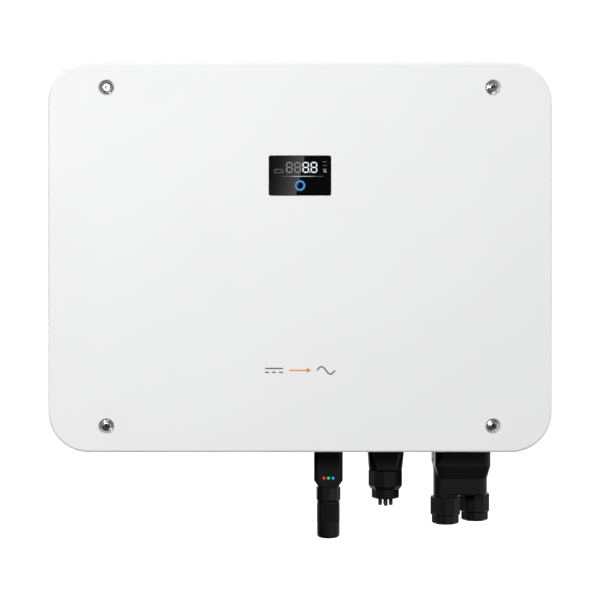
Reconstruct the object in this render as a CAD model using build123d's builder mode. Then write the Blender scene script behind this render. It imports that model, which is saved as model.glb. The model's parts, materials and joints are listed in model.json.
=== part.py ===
"""A wall-hung string inverter, as an assembly of separate pieces.

The frame is the row frame in millimetres: X to the right seen from the front, Y from the front towards
the wall, Z up. The origin is the centre of the wall bracket's four bolt holes, on the wall.
"""

from build123d import *
from math import cos, radians, sin
import os

os.makedirs("parts", exist_ok=True)

# ---------------------------------------------------------------------------------------------------
# Driving dimensions
# ---------------------------------------------------------------------------------------------------

# The whole unit
unit_width = 620.0  # front cover, side to side
unit_height = 480.0  # front cover, top to bottom
unit_depth = 245.0  # wall to the front face of the cover
unit_drop = 70.0  # from the wall bolts down to the middle of the cover

# Front cover
cover_corner = 50.0
cover_wall = 2.5
cover_rim = 20.0  # depth of the turned edge
cover_edge = 3.0  # rounding of the front edge
screw_span_x = 476.0  # between the cover screws
screw_span_z = 417.0
cup_depth = 5.0  # sunk seat of each cover screw
cup_radius = 9.5
cup_wall = 1.5

# Housing
side_margin = 20.0  # cover edge to the housing's side wall
top_margin = 15.0
bottom_margin = 18.0
rear_space = 90.0  # wall to the housing's back, where the heatsink stands
housing_corner = 36.0
housing_wall = 4.0
flange_out = 8.0  # the front flange stands this far out of the walls
flange_thickness = 6.0
gasket_width = 5.0
gasket_inset = 2.0

# Display
lens_width = 76.4
lens_height = 49.0
lens_thickness = 3.0
lens_corner = 2.0
lens_gap = 0.3  # between the lens and the cover around it
lens_tape = 1.0  # adhesive frame behind the lens
lens_ledge = 4.0  # width of the step that carries the tape
display_rise = 100.4  # display centre above the cover centre
inlay = 0.3  # depth of the lit marks in the lens
digit_width = 6.6
digit_height = 11.9
digit_pitch = 10.1
stroke = 1.5

# Heatsink and fans
heatsink_width = 430.0
heatsink_height = 307.0
heatsink_rise = 58.5  # heatsink centre above the cover centre
heatsink_base = 8.0
fin_thickness = 2.2
fin_pitch = 11.0
fin_groove = 2.0  # how deep each fin is pressed into the base
fin_margin = 18.0  # from the side of the base to the first fin
fin_end_margin = 15.0  # from the upper and lower ends of the base to the fins
fin_gap_to_wall = 22.0
heatsink_seal = 1.0
fan_size = 80.0
fan_thickness = 25.0
fan_bore = 38.2
fan_spacing = 190.0
fan_gap = 10.0  # fan to fins
tray_sheet = 1.5

# Wall bracket and hangers
hanger_width = 40.0
hanger_sheet = 3.0
hanger_gap = 7.0  # from the heatsink's side to each hanger
bracket_sheet = 3.0
bracket_width = heatsink_width + 2 * (hanger_gap + hanger_width)
bracket_below = 40.0
bracket_above = 45.0
lip_height = 18.0
lip_offset = 13.0  # wall to the outer face of the upturned lip
bolt_span_x = 400.0
bolt_span_z = 40.0
bolt_hole = 4.5

# Fasteners at the back, all the same M5 screw
m5_shank = 2.5
m5_head = 4.6
m5_head_height = 3.0
m5_length = 15.0
m5_clearance = 0.25

# Wiring side: plan positions of everything that hangs from the bottom wall
switch_x, switch_y = -228.0, -165.0
pv_columns = (-191.0, -162.0, -133.0, -104.0)
battery_column = -70.0
pv_rows = (-183.0, -147.0)
vent_x, vent_y = -28.0, -165.0
dongle_x, dongle_y = 36.2, -170.0
com_x, com_y = 109.5, -165.0
ac_x, ac_y = 206.2, -160.0
earth_x, earth_y = 150.3, -165.0

# Communication dongle
dongle_width = 36.6
dongle_depth = 26.0
dongle_corner = 4.5
dongle_taper_in = 6.0
dongle_length = 57.2
dongle_taper = 8.5
nose_radius = 8.8
nose_length = 14.0
collar_radius = 15.8
collar_height = 18.0
grip_radius = 14.6
grip_height = 47.0
dongle_neck = 9.5
led_radius = 1.9
led_pitch = 5.7
led_rise = 3.6  # above the lower edge of the flat front

# Signal connector
com_width = 45.6
com_depth = 34.0
com_block = 22.0
com_taper = 22.5
com_taper_in = 1.4
com_neck_radius = 15.0
com_nut_radius = 22.4
com_nut_height = 24.5
com_nut_chamfer = 5.0
com_cap_radius = 18.2
com_cap_height = 11.5
com_rod_radius = 2.5
com_rod_circle = 6.8
com_rod_out = 9.5

# Mains connector
ac_width = 70.6
ac_depth = 70.0
ac_block = 37.5
ac_taper = 16.5
ac_taper_in = 3.4
ac_taper_back = 6.0
ac_lower = 21.0
ac_barrel_radius = 15.4
ac_barrel_length = 2.0
ac_outlet_shift = -0.6  # middle of the two outlets, right of the connector's centre
ac_offset_x = 20.1  # each outlet from that middle
ac_offset_y = 13.0
ac_neck_radius = 14.5
ac_neck_length = 14.0
ac_nut_radius = 19.8
ac_nut_height = 23.5
ac_cap_radius = 18.0
ac_cap_height = 11.0
cable_radius = 9.5

# Faceted nuts
nut_sides = 10
nut_corner = -96.0  # direction of one corner, a little left of straight ahead
collar_corner = -84.0  # the same on the dongle's collar, a little right of straight ahead

# Clearances
slip = 0.3  # radial, between a piece that turns or pulls out and its seat
seat_gap = 1.0  # under a plugged-in connector
port_flange = 4.0

# ---------------------------------------------------------------------------------------------------
# Derived places
# ---------------------------------------------------------------------------------------------------

centre_z = -unit_drop
front_y = -unit_depth
rim_y = front_y + cup_depth + cover_wall  # front of the housing, and back of each screw seat
cover_back_y = front_y + cover_rim
back_y = -rear_space
inner_back_y = back_y - housing_wall

housing_width = unit_width - 2 * side_margin
housing_height = unit_height - top_margin - bottom_margin
housing_z = centre_z + (bottom_margin - top_margin) / 2
bottom_z = centre_z - unit_height / 2 + bottom_margin
floor_z = bottom_z + housing_wall
housing_side = housing_width / 2

heatsink_z = centre_z + heatsink_rise
base_front_y = back_y + heatsink_seal
base_back_y = base_front_y + heatsink_base
fin_tip_y = -fin_gap_to_wall
fin_foot_z = heatsink_z - heatsink_height / 2
fan_top_z = fin_foot_z - fan_gap
fan_bottom_z = fan_top_z - fan_thickness
fan_y = back_y + tray_sheet + seat_gap + fan_size / 2
fan_places = ((-fan_spacing / 2, fan_y), (fan_spacing / 2, fan_y))

display_z = centre_z + display_rise
lens_back_y = front_y + lens_thickness
ledge_y = lens_back_y + lens_tape

cover_screw_points = [
    (sx * screw_span_x / 2, centre_z + sz * screw_span_z / 2) for sx in (-1, 1) for sz in (-1, 1)
]
ac_front = (ac_x + ac_outlet_shift - ac_offset_x, ac_y - ac_offset_y)
ac_rear = (ac_x + ac_outlet_shift + ac_offset_x, ac_y + ac_offset_y)
socket_places = [(x, y) for x in (*pv_columns, battery_column) for y in pv_rows]


def wall_plane(y):
    """A plane parallel to the wall at depth y, drawn as seen from the front; extrude(-n) goes to the wall."""
    return Plane.XZ.offset(-y)


def level(z):
    """A level plane at height z, drawn as seen from above."""
    return Plane.XY.offset(z)


def write(piece, name):
    """Labels a finished piece and writes its STEP file."""
    piece.label = name
    export_step(piece, f"parts/{name}.step")


# ---------------------------------------------------------------------------------------------------
# Wall bracket and the hangers that hook over it
# ---------------------------------------------------------------------------------------------------

lip_top_z = bracket_above - bracket_sheet + lip_height
window_width, window_height = 110.0, 34.0

with BuildPart() as wall_bracket:
    with BuildSketch(Plane.YZ.offset(-bracket_width / 2)):
        with BuildLine():
            Polyline(
                (0, -bracket_below),
                (-lip_offset, -bracket_below),
                (-lip_offset, -bracket_below + bracket_sheet),
                (-bracket_sheet, -bracket_below + bracket_sheet),
                (-bracket_sheet, bracket_above - bracket_sheet),
                (-lip_offset, bracket_above - bracket_sheet),
                (-lip_offset, lip_top_z),
                (-lip_offset + bracket_sheet, lip_top_z),
                (-lip_offset + bracket_sheet, bracket_above),
                (0, bracket_above),
                close=True,
            )
        make_face()
    extrude(amount=bracket_width)
    fillet(wall_bracket.edges().filter_by(Axis.X).group_by(Axis.Y)[-1], 1.5)
    with BuildSketch(wall_plane(0)):
        with GridLocations(bolt_span_x, bolt_span_z, 2, 2):
            Circle(bolt_hole)
        with GridLocations(window_width + 20, 0, 3, 1):
            RectangleRounded(window_width, window_height, 8)
    extrude(amount=bracket_sheet, mode=Mode.SUBTRACT)
    with BuildSketch(wall_plane(-lip_offset)):
        with Locations((0, lip_top_z)):
            RectangleRounded(bracket_width - 5 * hanger_width, 2 * lip_height - 8, 5)
    extrude(amount=-bracket_sheet, mode=Mode.SUBTRACT)
write(wall_bracket.part, "wall_bracket")

hanger_x = bracket_width / 2 - hanger_width / 2
hanger_foot = 80.0  # how far the foot reaches down the housing
hanger_top_z = lip_top_z + hanger_sheet
hanger_lip_y = -lip_offset + bracket_sheet + 1.5
hanger_lip_height = 14.0
hanger_screw_points = [
    (side * hanger_x, hanger_top_z - drop) for side in (-1, 1) for drop in (20, 42, 64)
]

with BuildPart() as hangers:
    with BuildSketch(Plane.YZ.offset(hanger_x - hanger_width / 2)):
        with BuildLine():
            Polyline(
                (back_y, hanger_top_z - hanger_foot),
                (back_y, hanger_top_z),
                (hanger_lip_y + hanger_sheet, hanger_top_z),
                (hanger_lip_y + hanger_sheet, hanger_top_z - hanger_lip_height),
                (hanger_lip_y, hanger_top_z - hanger_lip_height),
                (hanger_lip_y, lip_top_z),
                (back_y + hanger_sheet, lip_top_z),
                (back_y + hanger_sheet, hanger_top_z - hanger_foot),
                close=True,
            )
        make_face()
    extrude(amount=hanger_width)
    gusset_front = back_y + hanger_sheet
    gusset_back = -lip_offset - 3
    for gusset_x in (hanger_x - hanger_width / 2, hanger_x + hanger_width / 2 - hanger_sheet):
        with BuildSketch(Plane.YZ.offset(gusset_x)):
            with BuildLine():
                Polyline(
                    (gusset_front, hanger_top_z - hanger_foot),
                    (gusset_front, lip_top_z),
                    (gusset_back, lip_top_z),
                    (gusset_back, lip_top_z - 8),
                    close=True,
                )
            make_face()
        extrude(amount=hanger_sheet)
    mirror(about=Plane.YZ)
    with BuildSketch(wall_plane(back_y)):
        with Locations(*hanger_screw_points):
            Circle(m5_shank + m5_clearance)
    extrude(amount=-hanger_sheet, mode=Mode.SUBTRACT)
write(hangers.part, "hangers")

# ---------------------------------------------------------------------------------------------------
# Housing
# ---------------------------------------------------------------------------------------------------

boss_radius = 8.0
boss_hole = 3.1
boss_depth = 40.0
boss_hole_depth = 20.0
blind_boss = 6.5
blind_boss_height = 9.0
heatsink_screw_x = heatsink_width / 2 - 8
heatsink_screw_z = heatsink_height / 2 - 6.5
heatsink_screw_points = [
    (side * heatsink_screw_x, heatsink_z + rise) for side in (-1, 1) for rise in (-130, -65, 0, 65, 130)
] + [
    (across, heatsink_z + side * heatsink_screw_z) for side in (-1, 1) for across in (-135, -45, 45, 135)
]
tray_half = fan_spacing / 2 + fan_size / 2 + 16
tray_flange = 30.0
tray_screw_points = [(x, fan_bottom_z + tray_flange / 2) for x in (8 - tray_half, 0, tray_half - 8)]
rear_screw_points = heatsink_screw_points + hanger_screw_points + tray_screw_points

opening_width = heatsink_width - 30
opening_height = heatsink_height - 27
grip_long, grip_wide, grip_deep = 110.0, 26.0, 20.0
grip_y = -160.0
rib_proud, rib_width = 4.0, 3.0
earth_side_z = centre_z - 150.0
earth_hole, earth_hole_depth = 2.5, 10.0

# Holes through the bottom wall
switch_hole = 11.0
socket_hole = 8.0
vent_hole = 6.0
dongle_hole = 13.0
com_hole_width, com_hole_depth = 36.0, 26.0
ac_hole_width, ac_hole_depth = 64.0, 46.0

with BuildPart() as housing:
    with BuildSketch(wall_plane(rim_y)):
        with Locations((0, housing_z)):
            RectangleRounded(housing_width, housing_height, housing_corner)
    extrude(amount=-(back_y - rim_y))
    fillet(housing.faces().sort_by(Axis.Y)[-1].edges(), 8)
    # Stiffening ribs on the side walls and the top, which end at the flange
    for rib_z in (-175, -125, -75, 75, 125, 175):
        with BuildSketch(wall_plane(rim_y + flange_thickness)):
            with Locations((0, centre_z + rib_z)):
                Rectangle(housing_width + 2 * rib_proud, rib_width)
        extrude(amount=-(back_y - rim_y - flange_thickness - 14))
    for rib_x in range(-225, 226, 75):
        with BuildSketch(wall_plane(rim_y + flange_thickness)):
            with Locations((rib_x, housing_z + housing_height / 2)):
                Rectangle(rib_width, 2 * rib_proud)
        extrude(amount=-(back_y - rim_y - flange_thickness - 14))
    with BuildSketch(wall_plane(rim_y)):
        with Locations((0, housing_z)):
            RectangleRounded(
                housing_width + 2 * flange_out, housing_height + 2 * flange_out, housing_corner + flange_out
            )
    extrude(amount=-flange_thickness)
    # Inside
    with BuildSketch(wall_plane(rim_y)):
        with Locations((0, housing_z)):
            RectangleRounded(
                housing_width - 2 * housing_wall,
                housing_height - 2 * housing_wall,
                housing_corner - housing_wall,
            )
    extrude(amount=-(inner_back_y - rim_y), mode=Mode.SUBTRACT)
    # Bosses for the cover screws, each tied to the wall beside it by a web
    with BuildSketch(wall_plane(rim_y)):
        with Locations(*cover_screw_points):
            Circle(boss_radius)
        for x, z in cover_screw_points:
            wall_z = housing_z + (housing_height / 2 - housing_wall / 2) * (1 if z > housing_z else -1)
            with Locations((x, (z + wall_z) / 2)):
                Rectangle(boss_radius, abs(wall_z - z))
    extrude(amount=-boss_depth)
    with BuildSketch(wall_plane(rim_y)):
        with Locations(*cover_screw_points):
            Circle(boss_hole)
    extrude(amount=-boss_hole_depth, mode=Mode.SUBTRACT)
    # Blind bosses for the screws at the back
    with BuildSketch(wall_plane(inner_back_y)):
        with Locations(*rear_screw_points):
            Circle(blind_boss)
    extrude(amount=blind_boss_height)
    with BuildSketch(wall_plane(back_y)):
        with Locations(*rear_screw_points):
            Circle(m5_shank + 0.1)
    extrude(amount=housing_wall + blind_boss_height - 2, mode=Mode.SUBTRACT)
    with BuildSketch(wall_plane(back_y)):
        with Locations((0, heatsink_z)):
            RectangleRounded(opening_width, opening_height, 6)
    extrude(amount=housing_wall + blind_boss_height, mode=Mode.SUBTRACT)
    # Hand grips sunk into both sides
    for side in (-1, 1):
        grip_plane = Plane((side * housing_side, grip_y, centre_z), x_dir=(0, 1, 0), z_dir=(side, 0, 0))
        with BuildSketch(grip_plane):
            RectangleRounded(grip_wide + 6, grip_long + 6, 8)
        extrude(amount=-(grip_deep + 3))
        with BuildSketch(grip_plane):
            RectangleRounded(grip_wide, grip_long, 5)
        extrude(amount=-grip_deep, mode=Mode.SUBTRACT)
    # Pad and tapped hole for an earth lead on the right side
    earth_plane = Plane((housing_side, grip_y, earth_side_z), x_dir=(0, 1, 0), z_dir=(1, 0, 0))
    with BuildSketch(earth_plane):
        Circle(9)
    extrude(amount=2)
    with BuildSketch(earth_plane):
        Circle(7)
    extrude(amount=-(housing_wall + 7))
    with BuildSketch(earth_plane.offset(2)):
        Circle(earth_hole)
    extrude(amount=-earth_hole_depth, mode=Mode.SUBTRACT)
    # Bottom wall
    with BuildSketch(level(bottom_z)):
        with Locations((switch_x, switch_y)):
            Circle(switch_hole)
        with Locations(*socket_places):
            Circle(socket_hole)
        with Locations((vent_x, vent_y)):
            Circle(vent_hole)
        with Locations((dongle_x, dongle_y)):
            Circle(dongle_hole)
        with Locations((com_x, com_y)):
            RectangleRounded(com_hole_width, com_hole_depth, 4)
        with Locations((ac_x, ac_y)):
            RectangleRounded(ac_hole_width, ac_hole_depth, 6)
        with Locations((earth_x, earth_y)):
            Circle(3.1)
    extrude(amount=housing_wall, mode=Mode.SUBTRACT)
write(housing.part, "housing")

# ---------------------------------------------------------------------------------------------------
# Front cover, its gasket, screws and washers
# ---------------------------------------------------------------------------------------------------

window_frame = 6.0  # wall of the frame behind the lens
frame_back_y = ledge_y + 3.0
cover_inner_width = unit_width - 2 * cover_wall
cover_inner_height = unit_height - 2 * cover_wall
stiffener = 2.0

with BuildPart() as front_cover:
    with BuildSketch(wall_plane(front_y)):
        with Locations((0, centre_z)):
            RectangleRounded(unit_width, unit_height, cover_corner)
    extrude(amount=-cover_rim)
    fillet(front_cover.faces().sort_by(Axis.Y)[0].edges(), cover_edge)
    with BuildSketch(wall_plane(front_y + cover_wall)):
        with Locations((0, centre_z)):
            RectangleRounded(cover_inner_width, cover_inner_height, cover_corner - cover_wall)
    extrude(amount=-(cover_rim - cover_wall), mode=Mode.SUBTRACT)
    # Sunk screw seats and the frame around the display
    with BuildSketch(wall_plane(rim_y)):
        with Locations(*cover_screw_points):
            Circle(cup_radius + cup_wall)
    extrude(amount=rim_y - front_y - cover_wall / 2)
    with BuildSketch(wall_plane(frame_back_y)):
        with Locations((0, display_z)):
            RectangleRounded(lens_width + 2 * window_frame, lens_height + 2 * window_frame, 6)
    extrude(amount=frame_back_y - front_y - cover_wall / 2)
    # Stiffening ribs on the inside
    with BuildSketch(wall_plane(rim_y - 1)):
        for rib_z in (-150, -75, 0):
            with Locations((0, centre_z + rib_z)):
                Rectangle(unit_width - 90, stiffener)
        for rib_x in (-180, -90, 90, 180):
            with Locations((rib_x, centre_z)):
                Rectangle(stiffener, unit_height - 90)
    extrude(amount=rim_y - 1 - front_y - cover_wall / 2)
    with BuildSketch(wall_plane(front_y)):
        with Locations(*cover_screw_points):
            Circle(cup_radius)
    extrude(amount=-cup_depth, mode=Mode.SUBTRACT)
    with BuildSketch(wall_plane(front_y)):
        with Locations(*cover_screw_points):
            Circle(3.4)
        with Locations((0, display_z)):
            RectangleRounded(lens_width - 2 * lens_ledge, lens_height - 2 * lens_ledge, 2)
    extrude(amount=-cover_rim, mode=Mode.SUBTRACT)
    with BuildSketch(wall_plane(front_y)):
        with Locations((0, display_z)):
            RectangleRounded(lens_width + 2 * lens_gap, lens_height + 2 * lens_gap, lens_corner + lens_gap)
    extrude(amount=-(ledge_y - front_y), mode=Mode.SUBTRACT)
    mouth_edges = front_cover.edges().filter_by(GeomType.CIRCLE).group_by(Axis.Y)[0]
    chamfer([e for e in mouth_edges if abs(e.radius - cup_radius) < 0.01], 0.8)
write(front_cover.part, "front_cover")

gasket_outer_width = housing_width + 2 * flange_out - 2 * gasket_inset
gasket_outer_height = housing_height + 2 * flange_out - 2 * gasket_inset
gasket_outer_corner = housing_corner + flange_out - gasket_inset

with BuildPart() as cover_gasket:
    with BuildSketch(wall_plane(front_y + cover_wall)):
        with Locations((0, housing_z)):
            RectangleRounded(gasket_outer_width, gasket_outer_height, gasket_outer_corner)
            RectangleRounded(
                gasket_outer_width - 2 * gasket_width,
                gasket_outer_height - 2 * gasket_width,
                gasket_outer_corner - gasket_width,
                mode=Mode.SUBTRACT,
            )
    extrude(amount=-cup_depth)
write(cover_gasket.part, "cover_gasket")

washer_radius = 8.8
washer_height = 1.8
washer_rim = 0.6
screw_head = 6.2
screw_head_height = 3.3
screw_shank = 3.0
screw_length = 18.0
screw_seat_y = front_y + cup_depth
head_base_y = screw_seat_y - washer_height

with BuildPart() as cover_washers:
    with BuildSketch(Plane.XY.offset(cover_screw_points[0][1])):
        with BuildLine():
            Polyline(
                (screw_shank + 0.2, screw_seat_y),
                (washer_radius, screw_seat_y),
                (washer_radius, screw_seat_y - washer_rim),
                (screw_head - 0.4, head_base_y),
                (screw_shank + 0.2, head_base_y),
                close=True,
            )
        make_face()
    revolve(axis=Axis((0, 0, cover_screw_points[0][1]), (0, 1, 0)))
    one_washer = cover_washers.part
cover_washer_group = Compound(
    [Pos(x, 0, z - cover_screw_points[0][1]) * one_washer for x, z in cover_screw_points]
)
write(cover_washer_group, "cover_washers")

with BuildPart() as cover_screws:
    with BuildSketch(wall_plane(head_base_y)):
        with Locations(*cover_screw_points):
            Circle(screw_head)
    extrude(amount=screw_head_height)
    fillet(cover_screws.faces().group_by(Axis.Y)[0].edges(), 2.4)
    with BuildSketch(wall_plane(head_base_y)):
        with Locations(*cover_screw_points):
            Circle(screw_shank)
    extrude(amount=-screw_length)
    with BuildSketch(wall_plane(head_base_y - screw_head_height)):
        with Locations(*cover_screw_points):
            RegularPolygon(2.0, 6, major_radius=False)
    extrude(amount=-2.4, mode=Mode.SUBTRACT)
    # Centre pin of the tamper-proof socket
    with BuildSketch(wall_plane(head_base_y - screw_head_height + 2.4)):
        with Locations(*cover_screw_points):
            Circle(0.75)
    extrude(amount=2.0)
write(cover_screws.part, "cover_screws")

# ---------------------------------------------------------------------------------------------------
# Display: dark lens, its adhesive frame, and the lit marks let into its face
# ---------------------------------------------------------------------------------------------------

digit_rise = 10.1  # digits above the lens centre
digits_shift = 2.0  # digits to the right of the lens centre
ring_drop = 12.2
ring_outer, ring_inner = 6.4, 4.2
line_drop, line_shift, line_length = 0.9, 3.6, 50.0


def digit_marks():
    """Four seven-segment figures with a point before the last, drawn on the current sketch."""
    half_w, half_h = digit_width / 2, digit_height / 2
    bar = digit_width - 1.2
    post = half_h - 1.2
    for place in range(4):
        x = digits_shift + (place - 1.5) * digit_pitch
        z = display_z + digit_rise
        with Locations((x, z + half_h), (x, z), (x, z - half_h)):
            SlotOverall(bar, stroke)
        with Locations(
            (x - half_w, z + half_h / 2),
            (x + half_w, z + half_h / 2),
            (x - half_w, z - half_h / 2),
            (x + half_w, z - half_h / 2),
        ):
            SlotOverall(post, stroke, rotation=90)
    with Locations((digits_shift + digit_pitch, display_z + digit_rise - half_h)):
        Circle(0.7)


def icon_marks():
    """The rule under the figures, the battery outline and the percent mark, on the current sketch."""
    with Locations((line_shift, display_z - line_drop)):
        Rectangle(line_length, 0.8)
    with Locations((-26.5, display_z + 5.5)):
        Rectangle(10, 5)
        Rectangle(8, 3, mode=Mode.SUBTRACT)
    with Locations((-20.8, display_z + 5.5)):
        Rectangle(1.0, 2.4)
    with Locations((30.5, display_z + 6.0)):
        SlotOverall(4.6, 0.9, rotation=52)
    with Locations((29.0, display_z + 7.6), (32.0, display_z + 4.4)):
        Circle(0.75)
    with Locations((30.5, display_z + 17.0), (30.5, display_z + 12.5)):
        SlotOverall(5.0, 1.2)


def ring_mark():
    """The round status light, on the current sketch."""
    with Locations((0, display_z - ring_drop)):
        Circle(ring_outer)
        Circle(ring_inner, mode=Mode.SUBTRACT)


with BuildPart() as display_lens:
    with BuildSketch(wall_plane(front_y)):
        with Locations((0, display_z)):
            RectangleRounded(lens_width, lens_height, lens_corner)
    extrude(amount=-lens_thickness)
    chamfer(display_lens.faces().sort_by(Axis.Y)[0].edges(), 0.3)
    with BuildSketch(wall_plane(front_y)):
        digit_marks()
        icon_marks()
        ring_mark()
    extrude(amount=-inlay, mode=Mode.SUBTRACT)
write(display_lens.part, "display_lens")

for mark_name, draw_marks in (
    ("display_digits", digit_marks),
    ("display_icons", icon_marks),
    ("status_ring", ring_mark),
):
    with BuildPart() as marks:
        with BuildSketch(wall_plane(front_y)):
            draw_marks()
        extrude(amount=-inlay)
    write(marks.part, mark_name)

with BuildPart() as lens_gasket:
    with BuildSketch(wall_plane(lens_back_y)):
        with Locations((0, display_z)):
            RectangleRounded(lens_width - 0.4, lens_height - 0.4, lens_corner)
            RectangleRounded(
                lens_width - 2 * lens_ledge + 1, lens_height - 2 * lens_ledge + 1, 1.5, mode=Mode.SUBTRACT
            )
    extrude(amount=-lens_tape)
write(lens_gasket.part, "lens_gasket")

# ---------------------------------------------------------------------------------------------------
# Heatsink, its gasket and all the M5 screws at the back
# ---------------------------------------------------------------------------------------------------

fin_count = int((heatsink_width - 2 * fin_margin) / fin_pitch) + 1
fin_height = heatsink_height - 2 * fin_end_margin

with BuildPart() as heatsink_plate:
    with BuildSketch(wall_plane(base_front_y)):
        with Locations((0, heatsink_z)):
            RectangleRounded(heatsink_width, heatsink_height, 4)
    extrude(amount=-heatsink_base)
    # Grooves for the fins
    with BuildSketch(wall_plane(base_back_y)):
        with Locations((0, heatsink_z)):
            with GridLocations(fin_pitch, 0, fin_count, 1):
                Rectangle(fin_thickness, fin_height)
    extrude(amount=fin_groove, mode=Mode.SUBTRACT)
    with BuildSketch(wall_plane(base_front_y)):
        with Locations(*heatsink_screw_points):
            Circle(m5_shank + m5_clearance)
    extrude(amount=-heatsink_base, mode=Mode.SUBTRACT)

with BuildPart() as fins:
    with BuildSketch(wall_plane(base_back_y - fin_groove)):
        with Locations((0, heatsink_z)):
            with GridLocations(fin_pitch, 0, fin_count, 1):
                Rectangle(fin_thickness, fin_height)
    extrude(amount=-(fin_tip_y - base_back_y + fin_groove))

heatsink = Compound(children=[*heatsink_plate.part.solids(), *fins.part.solids()])
write(heatsink, "heatsink")

with BuildPart() as heatsink_gasket:
    with BuildSketch(wall_plane(back_y)):
        with Locations((0, heatsink_z)):
            RectangleRounded(heatsink_width - 2, heatsink_height - 2, 4)
            RectangleRounded(opening_width, opening_height, 6, mode=Mode.SUBTRACT)
        with Locations(*heatsink_screw_points):
            Circle(m5_shank + m5_clearance, mode=Mode.SUBTRACT)
    extrude(amount=-heatsink_seal)
write(heatsink_gasket.part, "heatsink_gasket")

rear_screw_seats = (
    (base_back_y, heatsink_screw_points),
    (back_y + hanger_sheet, hanger_screw_points),
    (back_y + tray_sheet, tray_screw_points),
)

with BuildPart() as rear_screws:
    for seat_y, points in rear_screw_seats:
        with BuildSketch(wall_plane(seat_y)):
            with Locations(*points):
                Circle(m5_head)
        extrude(amount=-m5_head_height)
        with BuildSketch(wall_plane(seat_y + m5_head_height)):
            with Locations(*points):
                RegularPolygon(2.0, 6, major_radius=False)
        extrude(amount=1.8, mode=Mode.SUBTRACT)
        with BuildSketch(wall_plane(seat_y)):
            with Locations(*points):
                Circle(m5_shank)
        extrude(amount=m5_length - 4)
write(rear_screws.part, "rear_screws")

# ---------------------------------------------------------------------------------------------------
# Cooling fans in their tray under the fins
# ---------------------------------------------------------------------------------------------------

tray_z = fan_bottom_z - tray_sheet
tray_front = back_y + tray_sheet
tray_back = fan_y + fan_size / 2 + 1.5
fan_screw_span = 71.5
fan_screw_hole = 2.2
fan_screw_head = 3.6
fan_screw_eye = 2.6
fan_hub = 17.0
hub_base = 4.0
strut_height = 3.0

with BuildPart() as fan_tray:
    with BuildSketch(level(tray_z)):
        with Locations((0, (back_y + tray_back) / 2)):
            Rectangle(2 * tray_half, tray_back - back_y)
        with Locations(*fan_places):
            Circle(fan_bore, mode=Mode.SUBTRACT)
            with GridLocations(fan_screw_span, fan_screw_span, 2, 2):
                Circle(fan_screw_hole, mode=Mode.SUBTRACT)
    extrude(amount=tray_sheet)
    with BuildSketch(wall_plane(back_y)):
        with Locations((0, tray_z + tray_flange / 2)):
            Rectangle(2 * tray_half, tray_flange)
        with Locations(*tray_screw_points):
            Circle(m5_shank + m5_clearance, mode=Mode.SUBTRACT)
    extrude(amount=-tray_sheet)
    for side in (-1, 1):
        with BuildSketch(Plane.YZ.offset(side * (tray_half - tray_sheet / 2))):
            with Locations(((back_y + tray_back) / 2, tray_z + tray_flange / 2)):
                Rectangle(tray_back - back_y, tray_flange)
        extrude(amount=tray_sheet / 2, both=True)
write(fan_tray.part, "fan_tray")

with BuildPart() as fan_frames:
    with BuildSketch(level(fan_bottom_z)):
        with Locations(*fan_places):
            RectangleRounded(fan_size, fan_size, 4)
    extrude(amount=fan_thickness)
    # Waist between the two square flanges
    with BuildSketch(level(fan_bottom_z + 4)):
        with Locations(*fan_places):
            RectangleRounded(fan_size + 2, fan_size + 2, 4)
            Circle(fan_bore + 1.6, mode=Mode.SUBTRACT)
    extrude(amount=fan_thickness - 8, mode=Mode.SUBTRACT)
    with BuildSketch(level(fan_bottom_z)):
        with Locations(*fan_places):
            Circle(fan_bore)
    extrude(amount=fan_thickness, mode=Mode.SUBTRACT)
    with BuildSketch(level(fan_bottom_z)):
        with Locations(*fan_places):
            with GridLocations(fan_screw_span, fan_screw_span, 2, 2):
                Circle(fan_screw_hole)
    extrude(amount=fan_thickness, mode=Mode.SUBTRACT)
    with BuildSketch(level(fan_bottom_z)):
        with Locations(*fan_places):
            Circle(fan_hub)
    extrude(amount=hub_base)
    with BuildSketch(level(fan_bottom_z)):
        with Locations(*fan_places):
            Circle(fan_bore + 0.5)
            Circle(fan_bore - 0.001, mode=Mode.SUBTRACT)
            with PolarLocations((fan_hub + fan_bore) / 2 - 0.5, 4, start_angle=45):
                Rectangle(fan_bore - fan_hub + 2, 3)
    extrude(amount=strut_height)
write(fan_frames.part, "fan_frames")

blade_count = 7
blade_root, blade_tip = fan_hub - 3, fan_bore - 1.6
rotor_bottom_z = fan_bottom_z + hub_base + 1
rotor_height = 19.0


def fan_rotor(place):
    """One seven-bladed rotor standing over its fan's hub."""
    x, y = place
    middle = rotor_bottom_z + rotor_height / 2
    with BuildPart() as rotor:
        with BuildSketch(level(rotor_bottom_z)):
            with Locations(place):
                Circle(fan_hub)
        extrude(amount=rotor_height)
        fillet(rotor.faces().sort_by(Axis.Z)[-1].edges(), 2)
        for blade in range(blade_count):
            turn = 360 / blade_count * blade
            across = (cos(radians(turn)), sin(radians(turn)), 0)
            around = (-sin(radians(turn)), cos(radians(turn)), 0)
            for radius, pitch, chord in ((blade_root, 52, 19), (blade_tip, 34, 25)):
                tilt = radians(pitch)
                along = (around[0] * cos(tilt), around[1] * cos(tilt), sin(tilt))
                centre = (x + across[0] * radius, y + across[1] * radius, middle)
                with BuildSketch(Plane(centre, x_dir=along, z_dir=across)):
                    SlotOverall(chord, 1.6)
            loft()
        with BuildSketch(level(middle)):
            with Locations(place):
                Circle(fan_bore + 6)
                Circle(blade_tip - 0.4, mode=Mode.SUBTRACT)
        extrude(amount=rotor_height, both=True, mode=Mode.SUBTRACT)
    return rotor.part


write(fan_rotor(fan_places[0]), "fan_rotor_left")
write(fan_rotor(fan_places[1]), "fan_rotor_right")

guard_wire = 0.9
spoke_z = tray_z - guard_wire
ring_z = spoke_z - 1.5 * guard_wire

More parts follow.
